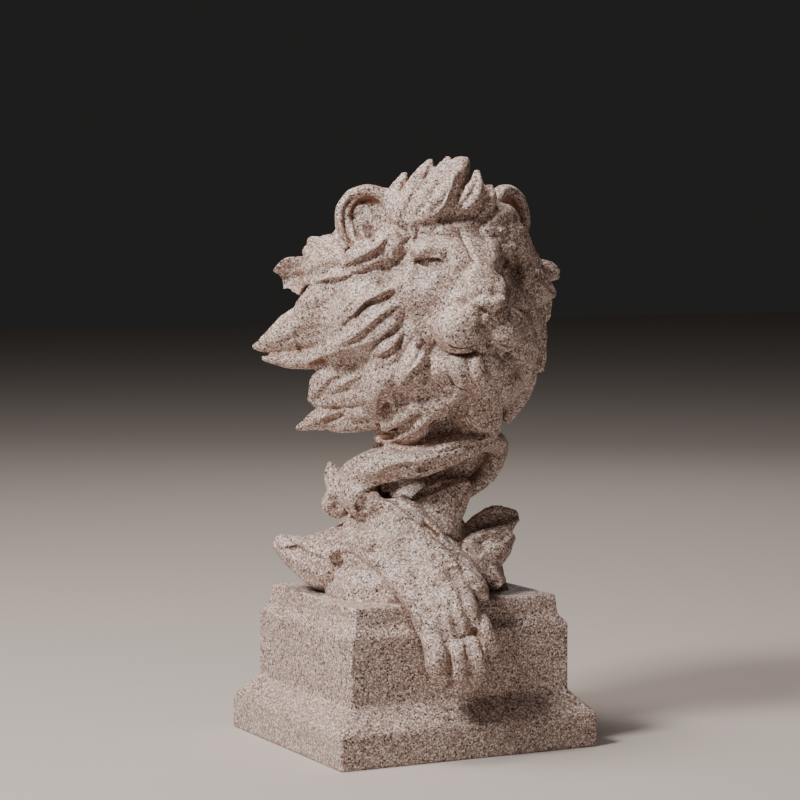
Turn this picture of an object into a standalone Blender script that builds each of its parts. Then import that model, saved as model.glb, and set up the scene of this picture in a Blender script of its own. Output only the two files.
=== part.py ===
"""Lion head statue on a stepped plinth, cast in one piece of sand-filled stone.

The lion faces -Y over the front of the plinth, with +X on its left and +Z up.
The origin is the centre of the plinth's underside. Lengths are in metres.
"""

import math
import random
from dataclasses import dataclass

import bmesh
import bpy
import numpy as np
from mathutils import Matrix, Vector
from mathutils.bvhtree import BVHTree

# The plinth, from the ground up
FOOT_WIDTH = 0.1200
FOOT_DEPTH = 0.1120
FOOT_HEIGHT = 0.0143
SPLAY_HEIGHT = 0.0097
DADO_INSET = 0.0090
DADO_HEIGHT = 0.0281
SHOULDER_HEIGHT = 0.0042
CAP_INSET = 0.0032
CAP_HEIGHT = 0.0080
CAP_BATTER = 0.0008
EDGE_ROUND = 0.0007

# The figure that grows out of the plinth's top
FIGURE_HEIGHT = 0.1860

# How finely the figure is worked
CORE_GRAIN = 0.0018
CLAY_GRAIN = 0.0013
CORE_PASSES = 7
SKIN_PASSES = 1
FIGURE_TRIANGLES = 9400
COARSE_FACTOR = 0.004

# The mane behind: the height of each row of locks, where a row starts and how far round it
# goes, all in degrees; and how close the locks lie on the lion's other cheek
BACK_SEED = 7
BACK_ROWS = (80, 62, 40, 18, -4, -26, -44)
BACK_START = 96
BACK_SPAN = 168
BACK_MIDDLE = 180
FAR_SIDE_REACH = 0.82

PLINTH_HEIGHT = FOOT_HEIGHT + SPLAY_HEIGHT + DADO_HEIGHT + SHOULDER_HEIGHT + CAP_HEIGHT
DADO_FRONT = -(FOOT_DEPTH / 2 - DADO_INSET)
CAP_FRONT = DADO_FRONT + CAP_INSET

# The figure is drawn in millimetres at this height and scaled to FIGURE_HEIGHT
DRAWN_HEIGHT = 186.0
UNIT = FIGURE_HEIGHT / DRAWN_HEIGHT

# Drawn sizes: how deep the folds sink into the plinth, how far ahead of the face a stroke
# starts, and the distances from the nose where thinning begins and is at its full strength
SEAT = 3.0
STROKE_START = 90.0
FINE_REACH = 24.0
COARSE_REACH = 64.0

HEAD_CENTRE = Vector((6.0, -8.0, 125.7))
STONE = (0.51, 0.40, 0.35, 1.0)


def figure_point(x, y, z):
    """A point of the drawing, with z above the plinth's top, in metres."""
    return Vector((x * UNIT, y * UNIT, PLINTH_HEIGHT + z * UNIT))


def head_point(x, forward, z):
    """A point of the head, drawn from the centre of the skull, in metres."""
    return figure_point(HEAD_CENTRE.x + x, HEAD_CENTRE.y - forward, HEAD_CENTRE.z + z)


def head_direction(azimuth, elevation):
    """Unit vector from the skull, azimuth 0 ahead and positive to the lion's left."""
    a, e = math.radians(azimuth), math.radians(elevation)
    return Vector((math.sin(a) * math.cos(e), -math.cos(a) * math.cos(e), math.sin(e)))


def add_ball(clay, centre, radii, turn=(0.0, 0.0, 0.0)):
    """Adds an ellipsoid of drawn radii; turn is degrees about X, Y and Z."""
    spin = Matrix.Identity(4)
    for axis, angle in zip("XYZ", turn):
        spin = Matrix.Rotation(math.radians(angle), 4, axis) @ spin
    size = Matrix.Diagonal([r * UNIT for r in radii] + [1.0])
    place = Matrix.Translation(centre) @ spin @ size
    bmesh.ops.create_icosphere(clay, subdivisions=4, radius=1.0, matrix=place)


def smooth_path(points, count):
    """Evenly counted points on a Catmull-Rom curve through the given ones."""
    p = np.array(points, float)
    p = np.vstack([2 * p[0] - p[1], p, 2 * p[-1] - p[-2]])
    spans = len(p) - 3
    out = []
    for step in np.linspace(0, spans, count):
        i = min(int(step), spans - 1)
        t = step - i
        a, b, c, d = p[i : i + 4]
        square = (2 * a - 5 * b + 4 * c - d) * t**2
        cube = (3 * b - a - 3 * c + d) * t**3
        out.append(0.5 * (2 * b + (c - a) * t + square + cube))
    return np.array(out)


def unit_rows(rows):
    """The rows, each scaled to length one."""
    return rows / np.maximum(np.linalg.norm(rows, axis=1, keepdims=True), 1e-12)


def sweep(clay, path, widths, depths, facing, section, tilt=0.0):
    """Skins a section along a path, closed at both ends.

    widths and depths are the half sizes at each point, facing the way its broad side looks,
    section the unit outline as (across, out) pairs, and tilt the lift of one rim in degrees.
    """
    along = unit_rows(np.gradient(path, axis=0))
    across = unit_rows(np.cross(along, facing))
    out = np.cross(across, along)
    lean = np.radians(np.broadcast_to(tilt, len(path)))[:, None]
    across, out = (
        across * np.cos(lean) + out * np.sin(lean),
        out * np.cos(lean) - across * np.sin(lean),
    )
    loops = []
    for i, centre in enumerate(path):
        ring = [
            centre + across[i] * widths[i] * a + out[i] * depths[i] * b for a, b in section
        ]
        loops.append([clay.verts.new(point) for point in ring])
    for lower, upper in zip(loops, loops[1:]):
        for i in range(len(lower)):
            j = (i + 1) % len(lower)
            clay.faces.new((lower[i], lower[j], upper[j], upper[i]))
    clay.faces.new(reversed(loops[0]))
    clay.faces.new(loops[-1])


def round_section(sides=32):
    """A circle of radius one."""
    turns = [2 * math.pi * i / sides for i in range(sides)]
    return [(math.cos(t), math.sin(t)) for t in turns]


def blade_section(grooves=2, groove_depth=0.30, sides=12):
    """A lock of hair across its run: sharp rims, a furrowed back and a flatter underside."""
    top = []
    under = []
    for i in range(sides + 1):
        a = -1 + 2 * i / sides
        swell = 1 - a * a
        furrow = 1 - groove_depth * (0.5 + 0.5 * math.cos(math.pi * (a * (grooves + 1) + grooves)))
        top.append((-a, swell * furrow))
        under.append((a, -0.55 * swell))
    return top[:-1] + under[:-1]


def cup_section(hollow=0.6, wall=0.5, sides=12):
    """A shell across its run: furrowed and hollow on the side it faces, rounded behind."""
    turns = [-1 + 2 * i / sides for i in range(sides + 1)]
    inner = [(-a, hollow * a * a + 0.10 * math.cos(3 * math.pi * a) * (1 - a * a)) for a in turns]
    outer = [(a * 1.04, hollow * a * a - wall * (1 - a * a) - 0.22) for a in turns]
    return inner + outer


def add_limb(clay, points, widths, depths, facing, section=None, tilt=0.0, count=24):
    """Adds a form through the given points with drawn half widths and half depths.

    facing is one direction for its broad side, or one for the start and one for the end.
    """
    path = smooth_path(points, count)
    t = np.linspace(0, 1, count)
    w = np.interp(t, np.linspace(0, 1, len(widths)), widths) * UNIT
    d = np.interp(t, np.linspace(0, 1, len(depths)), depths) * UNIT
    ends = facing if len(facing) == 2 else (facing, facing)
    first, last = (np.array(end, float) for end in ends)
    looks = first + (last - first) * t[:, None]
    sweep(clay, path, w, d, looks, section or round_section(), tilt)


@dataclass(frozen=True)
class Lock:
    """A lock of mane that leaves the head at root and ends in a point at tip.

    root and tip are (azimuth, elevation, distance from the skull's centre); bow bends the run
    sideways, curl bends it into an S, and tilt lifts one rim.
    """

    root: tuple
    tip: tuple
    width: float
    depth: float
    bow: float = 0.0
    curl: float = 0.0
    tilt: float = 25.0
    rise: float = 1.5
    root_width: float = 0.5
    hollow: bool = False

    def path(self, count):
        start, end = head_direction(*self.root[:2]), head_direction(*self.tip[:2])
        angle = max(start.angle(end), 1e-3)
        centre = head_point(0, 0, 0)
        points = []
        for t in np.linspace(0, 1, count):
            aim = (start * math.sin((1 - t) * angle) + end * math.sin(t * angle)) / math.sin(angle)
            reach = self.root[2] + (self.tip[2] - self.root[2]) * t**self.rise
            side = aim.cross(end - start).normalized()
            sway = self.bow * math.sin(math.pi * t) + self.curl * math.sin(2 * math.pi * t)
            points.append(centre + (aim * reach + side * sway) * UNIT)
        return np.array([tuple(p) for p in points])


def taper(t, root):
    """A lock's width along its run: its root, a belly and a point."""
    grown = root + (1 - root) * np.sin(np.minimum(t / 0.4, 1) * math.pi / 2)
    return grown * np.maximum(1 - t**2.4, 0.0) ** 0.9 + 0.04


def add_lock(clay, lock, count=22):
    """Adds one lock of mane, furrowed or hollow as it is drawn."""
    path = lock.path(count)
    shape = taper(np.linspace(0, 1, count), lock.root_width)
    facing = unit_rows(path - np.array(tuple(head_point(0, 0, 0))))
    section = cup_section() if lock.hollow else blade_section()
    widths = lock.width * UNIT * shape
    depths = lock.depth * UNIT * shape**0.7
    sweep(clay, path, widths, depths, facing, section, lock.tilt)


def new_object(name, mesh, collection):
    """An object of the mesh, linked to the collection."""
    made = bpy.data.objects.new(name, mesh)
    collection.objects.link(made)
    return made


def clay_object(name, clay, collection):
    """The worked clay as an object, with every face pointing out."""
    bmesh.ops.recalc_face_normals(clay, faces=clay.faces)
    mesh = bpy.data.meshes.new(name)
    clay.to_mesh(mesh)
    clay.free()
    return new_object(name, mesh, collection)


def fused(source, grain, passes):
    """The object's overlapping forms as one skin, rubbed smooth."""
    remesh = source.modifiers.new("Fuse", "REMESH")
    remesh.mode = "VOXEL"
    remesh.voxel_size = grain
    smooth = source.modifiers.new("Rub", "SMOOTH")
    smooth.factor = 0.5
    smooth.iterations = passes
    bpy.context.view_layer.update()
    graph = bpy.context.evaluated_depsgraph_get()
    mesh = bpy.data.meshes.new_from_object(source.evaluated_get(graph))
    bpy.data.objects.remove(source)
    return mesh


def stroke(mesh, path, radius, push, pinch=0.0):
    """Drags a tool along a drawn path, raising (or sinking) the skin within radius by push.

    pinch draws the skin towards the path, which sharpens a ridge or a crease.
    """
    count = len(mesh.vertices)
    points = np.empty(count * 3)
    normals = np.empty(count * 3)
    mesh.vertices.foreach_get("co", points)
    mesh.vertices.foreach_get("normal", normals)
    points = points.reshape(-1, 3)
    normals = normals.reshape(-1, 3)
    line = smooth_path(path, 4 * len(path)) if len(path) > 2 else np.array(path, float)
    reach = radius * UNIT
    low, high = line.min(axis=0) - reach, line.max(axis=0) + reach
    near = np.flatnonzero(np.all((points > low) & (points < high), axis=1))
    best = np.full(len(near), np.inf)
    foot = np.zeros((len(near), 3))
    for a, b in zip(line, line[1:]):
        run = b - a
        t = np.clip((points[near] - a) @ run / max(run @ run, 1e-18), 0, 1)
        at = a + t[:, None] * run
        far = np.linalg.norm(points[near] - at, axis=1)
        closer = far < best
        best[closer] = far[closer]
        foot[closer] = at[closer]
    fade = np.maximum(1 - (best / reach) ** 2, 0) ** 2
    points[near] += normals[near] * (fade * push * UNIT)[:, None]
    points[near] += (foot - points[near]) * (fade * pinch)[:, None]
    mesh.vertices.foreach_set("co", points.ravel())
    mesh.update()


def face_strokes(mesh, strokes):
    """Strokes drawn on the face from in front as (x, z) points, repeated on the other side."""
    corners = [vert.co.copy() for vert in mesh.vertices]
    skin = BVHTree.FromPolygons(corners, [tuple(face.vertices) for face in mesh.polygons])
    for path, radius, push, pinch in strokes:
        off_centre = any(x for x, z in path)
        sides = (-1, 1) if off_centre else (1,)
        for side in sides:
            starts = [head_point(side * x, STROKE_START, z) for x, z in path]
            line = [skin.ray_cast(start, Vector((0, 1, 0)))[0] for start in starts]
            stroke(mesh, line, radius, push, pinch)


CORE_STROKES = (
    ([(7.5, 13), (13, 14.5), (20, 13)], 7.5, -5.0, 0),
    ([(8.5, 11), (9, 5)], 4.5, -1.5, 0),
    ([(10.5, 5), (11.5, -2)], 5, -1.8, 0),
    ([(14, -4), (19, -9), (21.5, -18)], 4.5, -2.2, 0),
    ([(23, 5), (16, 3)], 6, 0.4, 0),
    ([(6, 22), (13, 23), (20, 20)], 5, 1.6, 0),
    ([(0, 22), (0, 31)], 4.5, -1.4, 0),
)

SKIN_STROKES = (
    ([(8.5, 17), (14, 20), (21, 17.5)], 2.4, -1.0, 0),
    ([(9, 9.5), (15, 7.5), (20, 9.5)], 2.4, -0.7, 0),
    ([(0, -20.5), (6, -22), (12, -21.8), (17, -19), (18.5, -17)], 2.6, -2.6, 0.2),
    ([(0, -7), (0, -20)], 2.2, -2.0, 0.2),
    ([(1.5, -7.5), (6, -8), (9.3, -5), (9.5, -1)], 2.2, -1.4, 0.2),
    ([(3.2, -5.2), (6.2, -3.6)], 2.0, -2.4, 0),
    ([(5, -25.5), (0, -26)], 3, -0.9, 0),
)


def head_core(collection):
    """Skull, brow, cheeks and muzzle, rubbed into one form before the details go on."""
    clay = bmesh.new()
    add_ball(clay, head_point(0, -2, 4), (35, 34, 36))
    add_limb(
        clay,
        [
            head_point(0, 6, 1),
            head_point(0, 19, 1),
            head_point(0, 27, -2),
            head_point(0, 34, -6),
            head_point(0, 40, -8),
            head_point(0, 45, -9),
            head_point(0, 49, -8),
        ],
        [33, 30, 26, 19.5, 15.5, 12, 7],
        [33, 31, 28, 25, 21, 17, 9],
        (0, 0, 1),
    )
    add_limb(
        clay,
        [head_point(0, 16, 27), head_point(0, 32, 20.5), head_point(0, 42, 9), head_point(0, 50, 0)],
        [15, 11, 8, 7.5],
        [8, 7, 7, 5],
        (0, -0.6, 0.8),
    )
    for side in (-1, 1):
        add_ball(clay, head_point(side * 9, 43, -13.5), (9.5, 10.5, 8.5))
        add_ball(clay, head_point(side * 20, 18, 2), (12, 15, 14))
        add_ball(clay, head_point(side * 20, 13, -14), (14, 18, 17))
        add_ball(clay, head_point(side * 12, 22, -28), (14, 15, 12))
        add_ball(clay, head_point(side * 11, 27, 21), (11, 8.5, 6))
    add_ball(clay, head_point(0, 38, -25), (10.5, 11, 9))
    core = fused(clay_object("head_core", clay, collection), CORE_GRAIN, CORE_PASSES)
    face_strokes(core, CORE_STROKES)
    return core


def features(clay):
    """Eyes, lids, nose pad and lips."""
    pad = [head_point(x, f, z) for x, f, z in ((-7.6, 48.5, -1.8), (-4, 52, -0.8), (0, 53, -0.6))]
    pad += [head_point(x, f, z) for x, f, z in ((4, 52, -0.8), (7.6, 48.5, -1.8))]
    add_limb(clay, pad, [2.2, 3.0, 3.2, 3.0, 2.2], [2.8, 3.0, 2.6, 3.0, 2.8], (0, -1, 0))
    add_ball(clay, head_point(0, 51.5, -4), (4.2, 3.2, 4.2))
    add_ball(clay, head_point(0, 41.5, -23), (12, 9, 3.6))
    add_ball(clay, head_point(0, 36, -31), (13, 9, 8))
    for side in (-1, 1):
        add_ball(clay, head_point(side * 6.6, 49, -3.6), (2.6, 3.6, 2.6))
        add_ball(clay, head_point(side * 14.8, 26.8, 13.6), (6.2, 5.4, 5.0))
        add_ball(clay, head_point(side * 9, 46, -14), (8.9, 8.6, 7.4))
        for lid, thick in ((UPPER_LID, 1.9), (LOWER_LID, 1.3)):
            line = [head_point(side * x, f, z) for x, f, z in lid]
            sizes = [0.6 * thick, thick, thick, 0.6 * thick]
            add_limb(clay, line, sizes, sizes, (0, -1, 0.3))


UPPER_LID = ((8.8, 33.4, 11.6), (12, 33.6, 16.2), (16.5, 32.2, 17), (21.5, 28, 14))
LOWER_LID = ((8.8, 33.2, 11.4), (12.5, 32.8, 10.2), (17, 31, 10.4), (21.5, 28, 12.8))


def ear(clay, side):
    """A thick-rimmed ear: a rolled rim round a dished back, with a root in the mane."""
    centre = head_point(side * 33, 5, 34)
    looks = head_direction(side * 27, 6)
    up = Vector((side * 0.08, 0, 1)).normalized()
    across = up.cross(looks).normalized()
    up = looks.cross(across)
    turns = [2 * math.pi * i / 24 for i in range(25)]
    rim = [
        centre + (across * (9.6 * math.cos(t)) + up * (10.8 * math.sin(t)) + looks * 1.0) * UNIT
        for t in turns
    ]
    add_limb(clay, rim, [2.9], [3.2], tuple(looks), count=32)
    place = Matrix.Translation(centre - looks * 3.2 * UNIT)
    place = place @ Matrix((across, looks, up)).transposed().to_4x4()
    place = place @ Matrix.Diagonal([10.5 * UNIT, 3.4 * UNIT, 11.5 * UNIT, 1.0])
    bmesh.ops.create_icosphere(clay, subdivisions=4, radius=1, matrix=place)
    add_ball(clay, head_point(side * 26, -2, 24), (11, 9, 12))
    for lean in (-3.5, 1.5):
        drawn = ((0, -10, 0), (lean, -3, 0), (lean, 4, 2))
        hair = [centre + (across * a + up * b - looks * c) * UNIT for a, b, c in drawn]
        add_limb(clay, hair, [3, 2.6, 0.8], [2.4, 2.2, 0.8], tuple(looks))


CHEEK_LOCKS = (
    Lock((-50, 41, 39), (-78, 10, 57), 7, 5, bow=2),
    Lock((-50, 26, 38), (-98, -22, 66), 14, 9, bow=6, curl=-3, tilt=20, hollow=True),
    Lock((-44, 8, 36), (-84, -18, 60), 7, 5.5, bow=4, tilt=35, root_width=0.1),
    Lock((-46, -2, 37), (-96, -26, 63), 8, 6, bow=3, tilt=35, root_width=0.15),
    Lock((-42, -15, 39), (-66, -26, 55), 6, 5, bow=2, root_width=0.15),
    Lock((-54, -22, 42), (-88, -34, 60), 7.5, 5.5, bow=3),
    Lock((-62, -32, 46), (-108, -41, 68), 9, 6, bow=3),
    Lock((-80, -28, 48), (-107, -32, 67), 9, 6),
    Lock((-70, -45, 50), (-111, -44, 80), 9, 6, bow=3),
    Lock((-84, -48, 52), (-100, -52, 66), 8, 5),
    Lock((-86, 0, 48), (-113, -15, 80), 12, 7, bow=2),
    Lock((-90, -12, 48), (-112, -22, 76), 10, 6, bow=-1),
    Lock((-84, 14, 46), (-114, 4, 69), 10, 8, curl=3),
    Lock((-72, 26, 43), (-98, 21, 61), 7.5, 6, bow=2),
    Lock((-66, 31, 41), (-88, 26, 55), 7, 5.5),
    Lock((-28, -28, 44), (-72, -52, 61), 10, 7, bow=-7, tilt=30, hollow=True),
    Lock((-16, -46, 50), (-78, -58, 66), 9, 6, bow=-7, tilt=35),
    Lock((-22, -20, 42), (-50, -40, 56), 7.5, 5, bow=-3),
    Lock((-10, -34, 47), (-40, -44, 55), 7, 5, bow=-3),
    Lock((0, -52, 52), (-44, -64, 63), 9, 6, bow=-4),
    Lock((-36, -24, 44), (-58, -42, 58), 6, 5, bow=-3, tilt=30),
    Lock((-30, -40, 50), (-58, -60, 62), 7, 5, bow=-4, tilt=30),
    Lock((-50, -12, 42), (-78, -26, 58), 5.5, 5, bow=2, tilt=35, root_width=0.15),
    Lock((-58, 4, 46), (-92, -12, 66), 6, 5, bow=3, tilt=30, root_width=0.15),
)

FAR_LOCKS = (
    Lock((54, 16, 40), (78, 7, 58), 9, 8, bow=-4, tilt=-10),
    Lock((54, -2, 40), (90, -36, 54), 12, 7, bow=-4, tilt=-30),
    Lock((2, 32, 40), (42, 2, 48), 7.5, 5, bow=7, curl=-2, tilt=-30),
    Lock((16, 36, 41), (56, 20, 50), 8, 5.5, bow=5, tilt=-30),
)

CREST = (
    Lock((-50, 44, 40), (-12, 60, 53), 8, 5.5, bow=-4, tilt=30),
    Lock((-34, 38, 39), (6, 64, 57), 9, 6, bow=-6, tilt=30),
    Lock((-14, 36, 40), (28, 68, 58), 9, 6, bow=-6, tilt=30),
    Lock((-66, 50, 38), (-86, 63, 52), 11, 7),
    Lock((-46, 52, 40), (-60, 67, 58), 11, 7),
    Lock((-30, 54, 40), (-32, 78, 60), 11, 7),
    Lock((4, 52, 40), (2, 76, 62), 10, 7, bow=3),
    Lock((26, 52, 40), (58, 77, 61), 10, 7),
    Lock((44, 48, 40), (62, 68, 60), 9, 7),
    Lock((56, 44, 40), (74, 62, 56), 9, 6),
    Lock((150, 84, 40), (168, 56, 56), 10, 6),
    Lock((96, 76, 40), (126, 52, 57), 10, 6),
    Lock((-96, 76, 40), (-126, 52, 56), 10, 6),
)


def mirrored(lock):
    """The lock on the lion's other cheek, lying closer to the head."""
    return Lock(
        (-lock.root[0], lock.root[1], lock.root[2]),
        (-lock.tip[0], lock.tip[1], lock.tip[2] * FAR_SIDE_REACH),
        lock.width,
        lock.depth,
        -lock.bow,
        -lock.curl,
        -lock.tilt,
        lock.rise,
        lock.root_width,
        lock.hollow,
    )


def back_locks():
    """Rows of locks over the back of the head, falling towards the neck."""
    chance = random.Random(BACK_SEED)
    locks = []
    for row, elevation in enumerate(BACK_ROWS):
        columns = 8 if elevation < 60 else 5
        step = BACK_SPAN / columns
        for column in range(columns):
            azimuth = BACK_START + step * (column + 0.5 * (row % 2)) + chance.uniform(-4, 4)
            drop = chance.uniform(28, 36)
            reach = chance.uniform(58, 64) - 0.07 * abs(elevation)
            reach -= 0.12 * abs(azimuth - BACK_MIDDLE)
            root = (azimuth, elevation, 40)
            tip = (azimuth + chance.uniform(-12, 12), elevation - drop, reach)
            width = chance.uniform(9.5, 11.5)
            bow, curl = chance.uniform(-3, 3), chance.uniform(-3, 3)
            locks.append(Lock(root, tip, width, 7, bow, curl, chance.choice((-26, 26))))
    return locks


def mane(clay):
    """The mass of the mane and every lock over it."""
    add_ball(clay, head_point(-2, -10, -5), (43, 37, 46))
    add_ball(clay, head_point(0, -4, 26), (32, 31, 22))
    for side in (-1, 1):
        add_ball(clay, head_point(side * 30, 8, -10), (12, 15, 30))
        add_ball(clay, head_point(side * 14, 20, -34), (16, 16, 13))
    far = [mirrored(lock) for lock in CHEEK_LOCKS]
    for lock in (*CHEEK_LOCKS, *far, *FAR_LOCKS, *CREST, *back_locks()):
        add_lock(clay, lock)


def beard(clay):
    """Short curled tufts under the chin."""
    tufts = ((-13, -7, 4.5), (-8, -4, 5.0), (-2.5, -1, 5.0))
    tufts += ((3, 2, 5.0), (8.5, 4, 5.0), (13, 6, 4.5))
    curled = blade_section(1, 0.3)
    for x, lean, size in tufts:
        tuft = [head_point(x * 0.8, 37, -26), head_point(x, 41 - abs(x) * 0.25, -31)]
        tuft.append(head_point(x + lean * 0.5, 40.5 - abs(x) * 0.3, -35.5))
        tuft.append(head_point(x + lean, 36, -37))
        widths = [size, size, size * 0.7, 0.8]
        add_limb(clay, tuft, widths, [5, 5, 3.5, 0.8], (0, -1, -0.1), curled)


def fold(clay, points, widths, depths, facing, section=None, tilt=0.0, count=24):
    """A form of the figure below the head, through points drawn above the plinth."""
    add_limb(clay, [figure_point(*p) for p in points], widths, depths, facing, section, tilt, count)


def neck(clay):
    """The neck and the strands of mane that fall down its back."""
    rings = [(9, -5, 92), (11.5, -5.5, 66), (6.5, -1, 50)]
    rings += [(-1, 3, 37), (-5, 2, 25), (-4, 2, -SEAT)]
    fold(clay, rings, [27, 24.5, 23, 19, 24, 36], [26, 23, 16, 13, 18, 32], (-0.45, -0.9, 0))
    nape = [(10, 16, 92), (9, 18, 68), (3, 16, 46), (-4, 16, 22), (-6, 20, -SEAT)]
    fold(clay, nape, [20, 17, 15, 20, 26], [14, 11, 9, 10, 16], (0, -1, 0))
    for x, lean, low in ((4, -2, 50), (12, 0, 40), (20, 3, 46), (28, 4, 56)):
        strand = [(x, 26, 94), (x + 2, 30, 76), (x + lean, 27, (76 + low) / 2), (x + lean, 25, low)]
        fold(clay, strand, [8, 9, 7, 1], [5, 6, 4, 1], (0, 1, 0), blade_section(), 20)


BACK_PLEATS = ((-27, 28), (-9, 34), (11, 34), (28, 26), (36, 9))


def drape(clay):
    """The cloth-like folds that wind round the neck and spread over the plinth."""
    ribbed = blade_section(2, 0.4)
    band = [(-34, 16, 45), (-27, 4, 46), (-19, -8, 49), (-11, -16, 52), (-1, -20, 55), (11, -21, 58)]
    band += [(23, -16, 62), (31, -6, 65), (32, 10, 67), (22, 24, 66)]
    band += [(4, 30, 62), (-14, 24, 56), (-26, 14, 50)]
    widths = [8, 9, 8.5, 8, 8, 8, 8, 9, 9, 9, 9, 8, 6]
    depths = [3, 6, 7, 7, 7, 7, 7, 7, 7, 7, 7, 6, 3]
    path = smooth_path([figure_point(*p) for p in band], 52)
    middle = np.array(tuple(figure_point(0, 4, 0)))
    facing = unit_rows((path - middle) * np.array([1.0, 1.0, 0.0]))
    t = np.linspace(0, 1, len(band))
    along = np.linspace(0, 1, len(path))
    w = np.interp(along, t, widths) * UNIT
    d = np.interp(along, t, depths) * UNIT
    sweep(clay, path, w, d, facing, ribbed)
    spike = [(-24, 4, 46), (-29, 10, 50), (-30.5, 17, 55.5)]
    fold(clay, spike, [6, 4, 0.8], [4, 2.5, 0.8], (-0.9, -0.4, 0.4))
    lobe = [(-24, 2, 44), (-29.5, 9, 40), (-31.5, 14, 36), (-27, 12, 33)]
    fold(clay, lobe, [5, 5, 4, 1], [4, 4, 3.5, 1], (-0.9, -0.4, -0.2))
    flare = [(2, 4, 54), (-11, 5, 50), (-25, 11, 46)]
    fold(clay, flare, [11, 10, 5], [10, 8, 5], (-0.9, -0.4, 0.4))
    hanging = [(31, -2, 66), (29, -11, 58), (26, -15, 50), (20, -16, 43.5), (13, -17.5, 36.5)]
    fold(clay, hanging, [8, 8, 7, 5, 1.5], [6, 6, 5, 4, 1.5], (0.7, -0.7, 0), blade_section())
    waist = [(2, -12, 50), (8, -17, 42), (11, -18, 34), (11, -16, 24)]
    fold(clay, waist, [4, 6, 6, 7], [4, 5, 5, 5], (0, -1, 0.2), blade_section())
    ridge = [(-6, 0, 14), (-20, 4, 14), (-34, 12, 13), (-44, 22, 16), (-51, 29, 20.5)]
    fold(clay, ridge, [28, 25, 18, 9, 3], [21, 19, 15.5, 7.5, 3], (0, 0, 1))
    add_ball(clay, figure_point(-17, -9, -2), (25, 29, 25))
    add_ball(clay, figure_point(2, 12, -2), (37, 28, 27))
    for x, y in BACK_PLEATS:
        pleat = [(x * 0.45, y * 0.45 + 6, 42), (x * 0.7, y * 0.72 + 3, 24)]
        pleat += [(x * 0.92, y * 0.92, 9), (x, y, -SEAT)]
        fold(clay, pleat, [7, 11, 12, 10], [4, 5, 4.5, 3], (x, y, 40), blade_section(), 15)


def leaf(clay):
    """The curled leaf-like fold on the lion's left, with the rounded folds at its foot."""
    blade = [(22, -10, 2), (25, -10, 14), (31, -10, 25), (38, -13, 31), (44, -17, 31)]
    fold(clay, blade, [11, 13, 12, 8, 1.5], [8, 9, 8, 5, 1.5], (-0.35, -0.9, 0.3), cup_section())
    rib = [(19, -17, 22), (27, -21, 21), (35, -22, 23), (42, -20, 27)]
    fold(clay, rib, [2.5, 3, 3, 1.5], [3, 3.5, 3.5, 1.5], (0, -1, 0.4))
    fold(clay, [(34, -19, 22), (33, -21, 12), (32, -22, 0)], [5, 6, 9], [5, 5, 7], (0, -1, 0.1))
    fold(clay, [(22, -20, 14), (27, -26, 8), (31, -27, 2)], [6, 6, 5], [4, 4.5, 4], (0.3, -0.6, 0.7))


# Each toe: across, top and bottom above the plinth's top, and half width
TOES = (
    (-19.4, -10.3, -30, 5.0),
    (-9.6, -11.3, -35, 4.3),
    (-1.3, -10.3, -27.5, 4.7),
    (5.2, -4.3, -18.5, 4.4),
)


def foreleg(clay):
    """The foreleg that reaches from the folds and hangs over the plinth's front edge."""
    edge = CAP_FRONT / UNIT
    arm = [(-24, 0, 27), (-19, -15, 24), (-14, edge + 11.8, 13)]
    arm += [(-11.5, edge - 2.2, 1), (-9, edge - 10.2, -8), (-7.5, edge - 12.7, -17)]
    over = ((-0.1, -0.3, 1), (0, -1, 0.1))
    fold(clay, arm, [14, 17, 17, 14.5, 15.5, 13.5], [9, 10, 9, 8.5, 8, 5], over, count=32)
    for x, top, bottom, size in TOES:
        toe = [(x * 0.9 - 1, edge - 11.2, top + 5), (x, edge - 16.7, top - 3)]
        toe += [(x, edge - 18.7, bottom + 5), (x, edge - 16.7, bottom + 0.6)]
        widths = [size * 0.9, size, size * 0.95, size * 0.4]
        fold(clay, toe, widths, widths, (0, -1, 0.1))
        claw = [(x, edge - 18.2, bottom + 3), (x + 0.3, edge - 18.7, bottom - 2)]
        fold(clay, claw, [1.8, 0.5], [1.8, 0.5], (0, -1, 0))
        sinew = [(x * 0.5 - 9, edge + 13.8, 17), (x * 0.7 - 4, edge - 4.2, 5)]
        sinew.append((x * 0.9, edge - 14.7, top))
        fold(clay, sinew, [1.0, 2.6, 3.2], [2.0, 3.4, 3.6], ((0, -0.4, 1), (0, -1, 0.2)))
    strip = [(-12, -14, 34), (-4, -28, 26), (3, edge + 4.8, 17)]
    strip += [(7, edge - 5.2, 7), (7.5, edge - 8.2, 0)]
    fold(clay, strip, [5, 6, 6, 6.5, 4], [4, 4, 4, 3.5, 3], (0.5, -0.6, 0.7), blade_section())


def raise_course(solid, face, rise, inset):
    """Grows the next course of the plinth from its top face and returns the new top."""
    grown = bmesh.ops.extrude_discrete_faces(solid, faces=[face])["faces"][0]
    middle = grown.calc_center_median()
    for vert in grown.verts:
        for axis in (0, 1):
            vert.co[axis] -= math.copysign(inset, vert.co[axis] - middle[axis])
        vert.co.z += rise
    return grown


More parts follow.
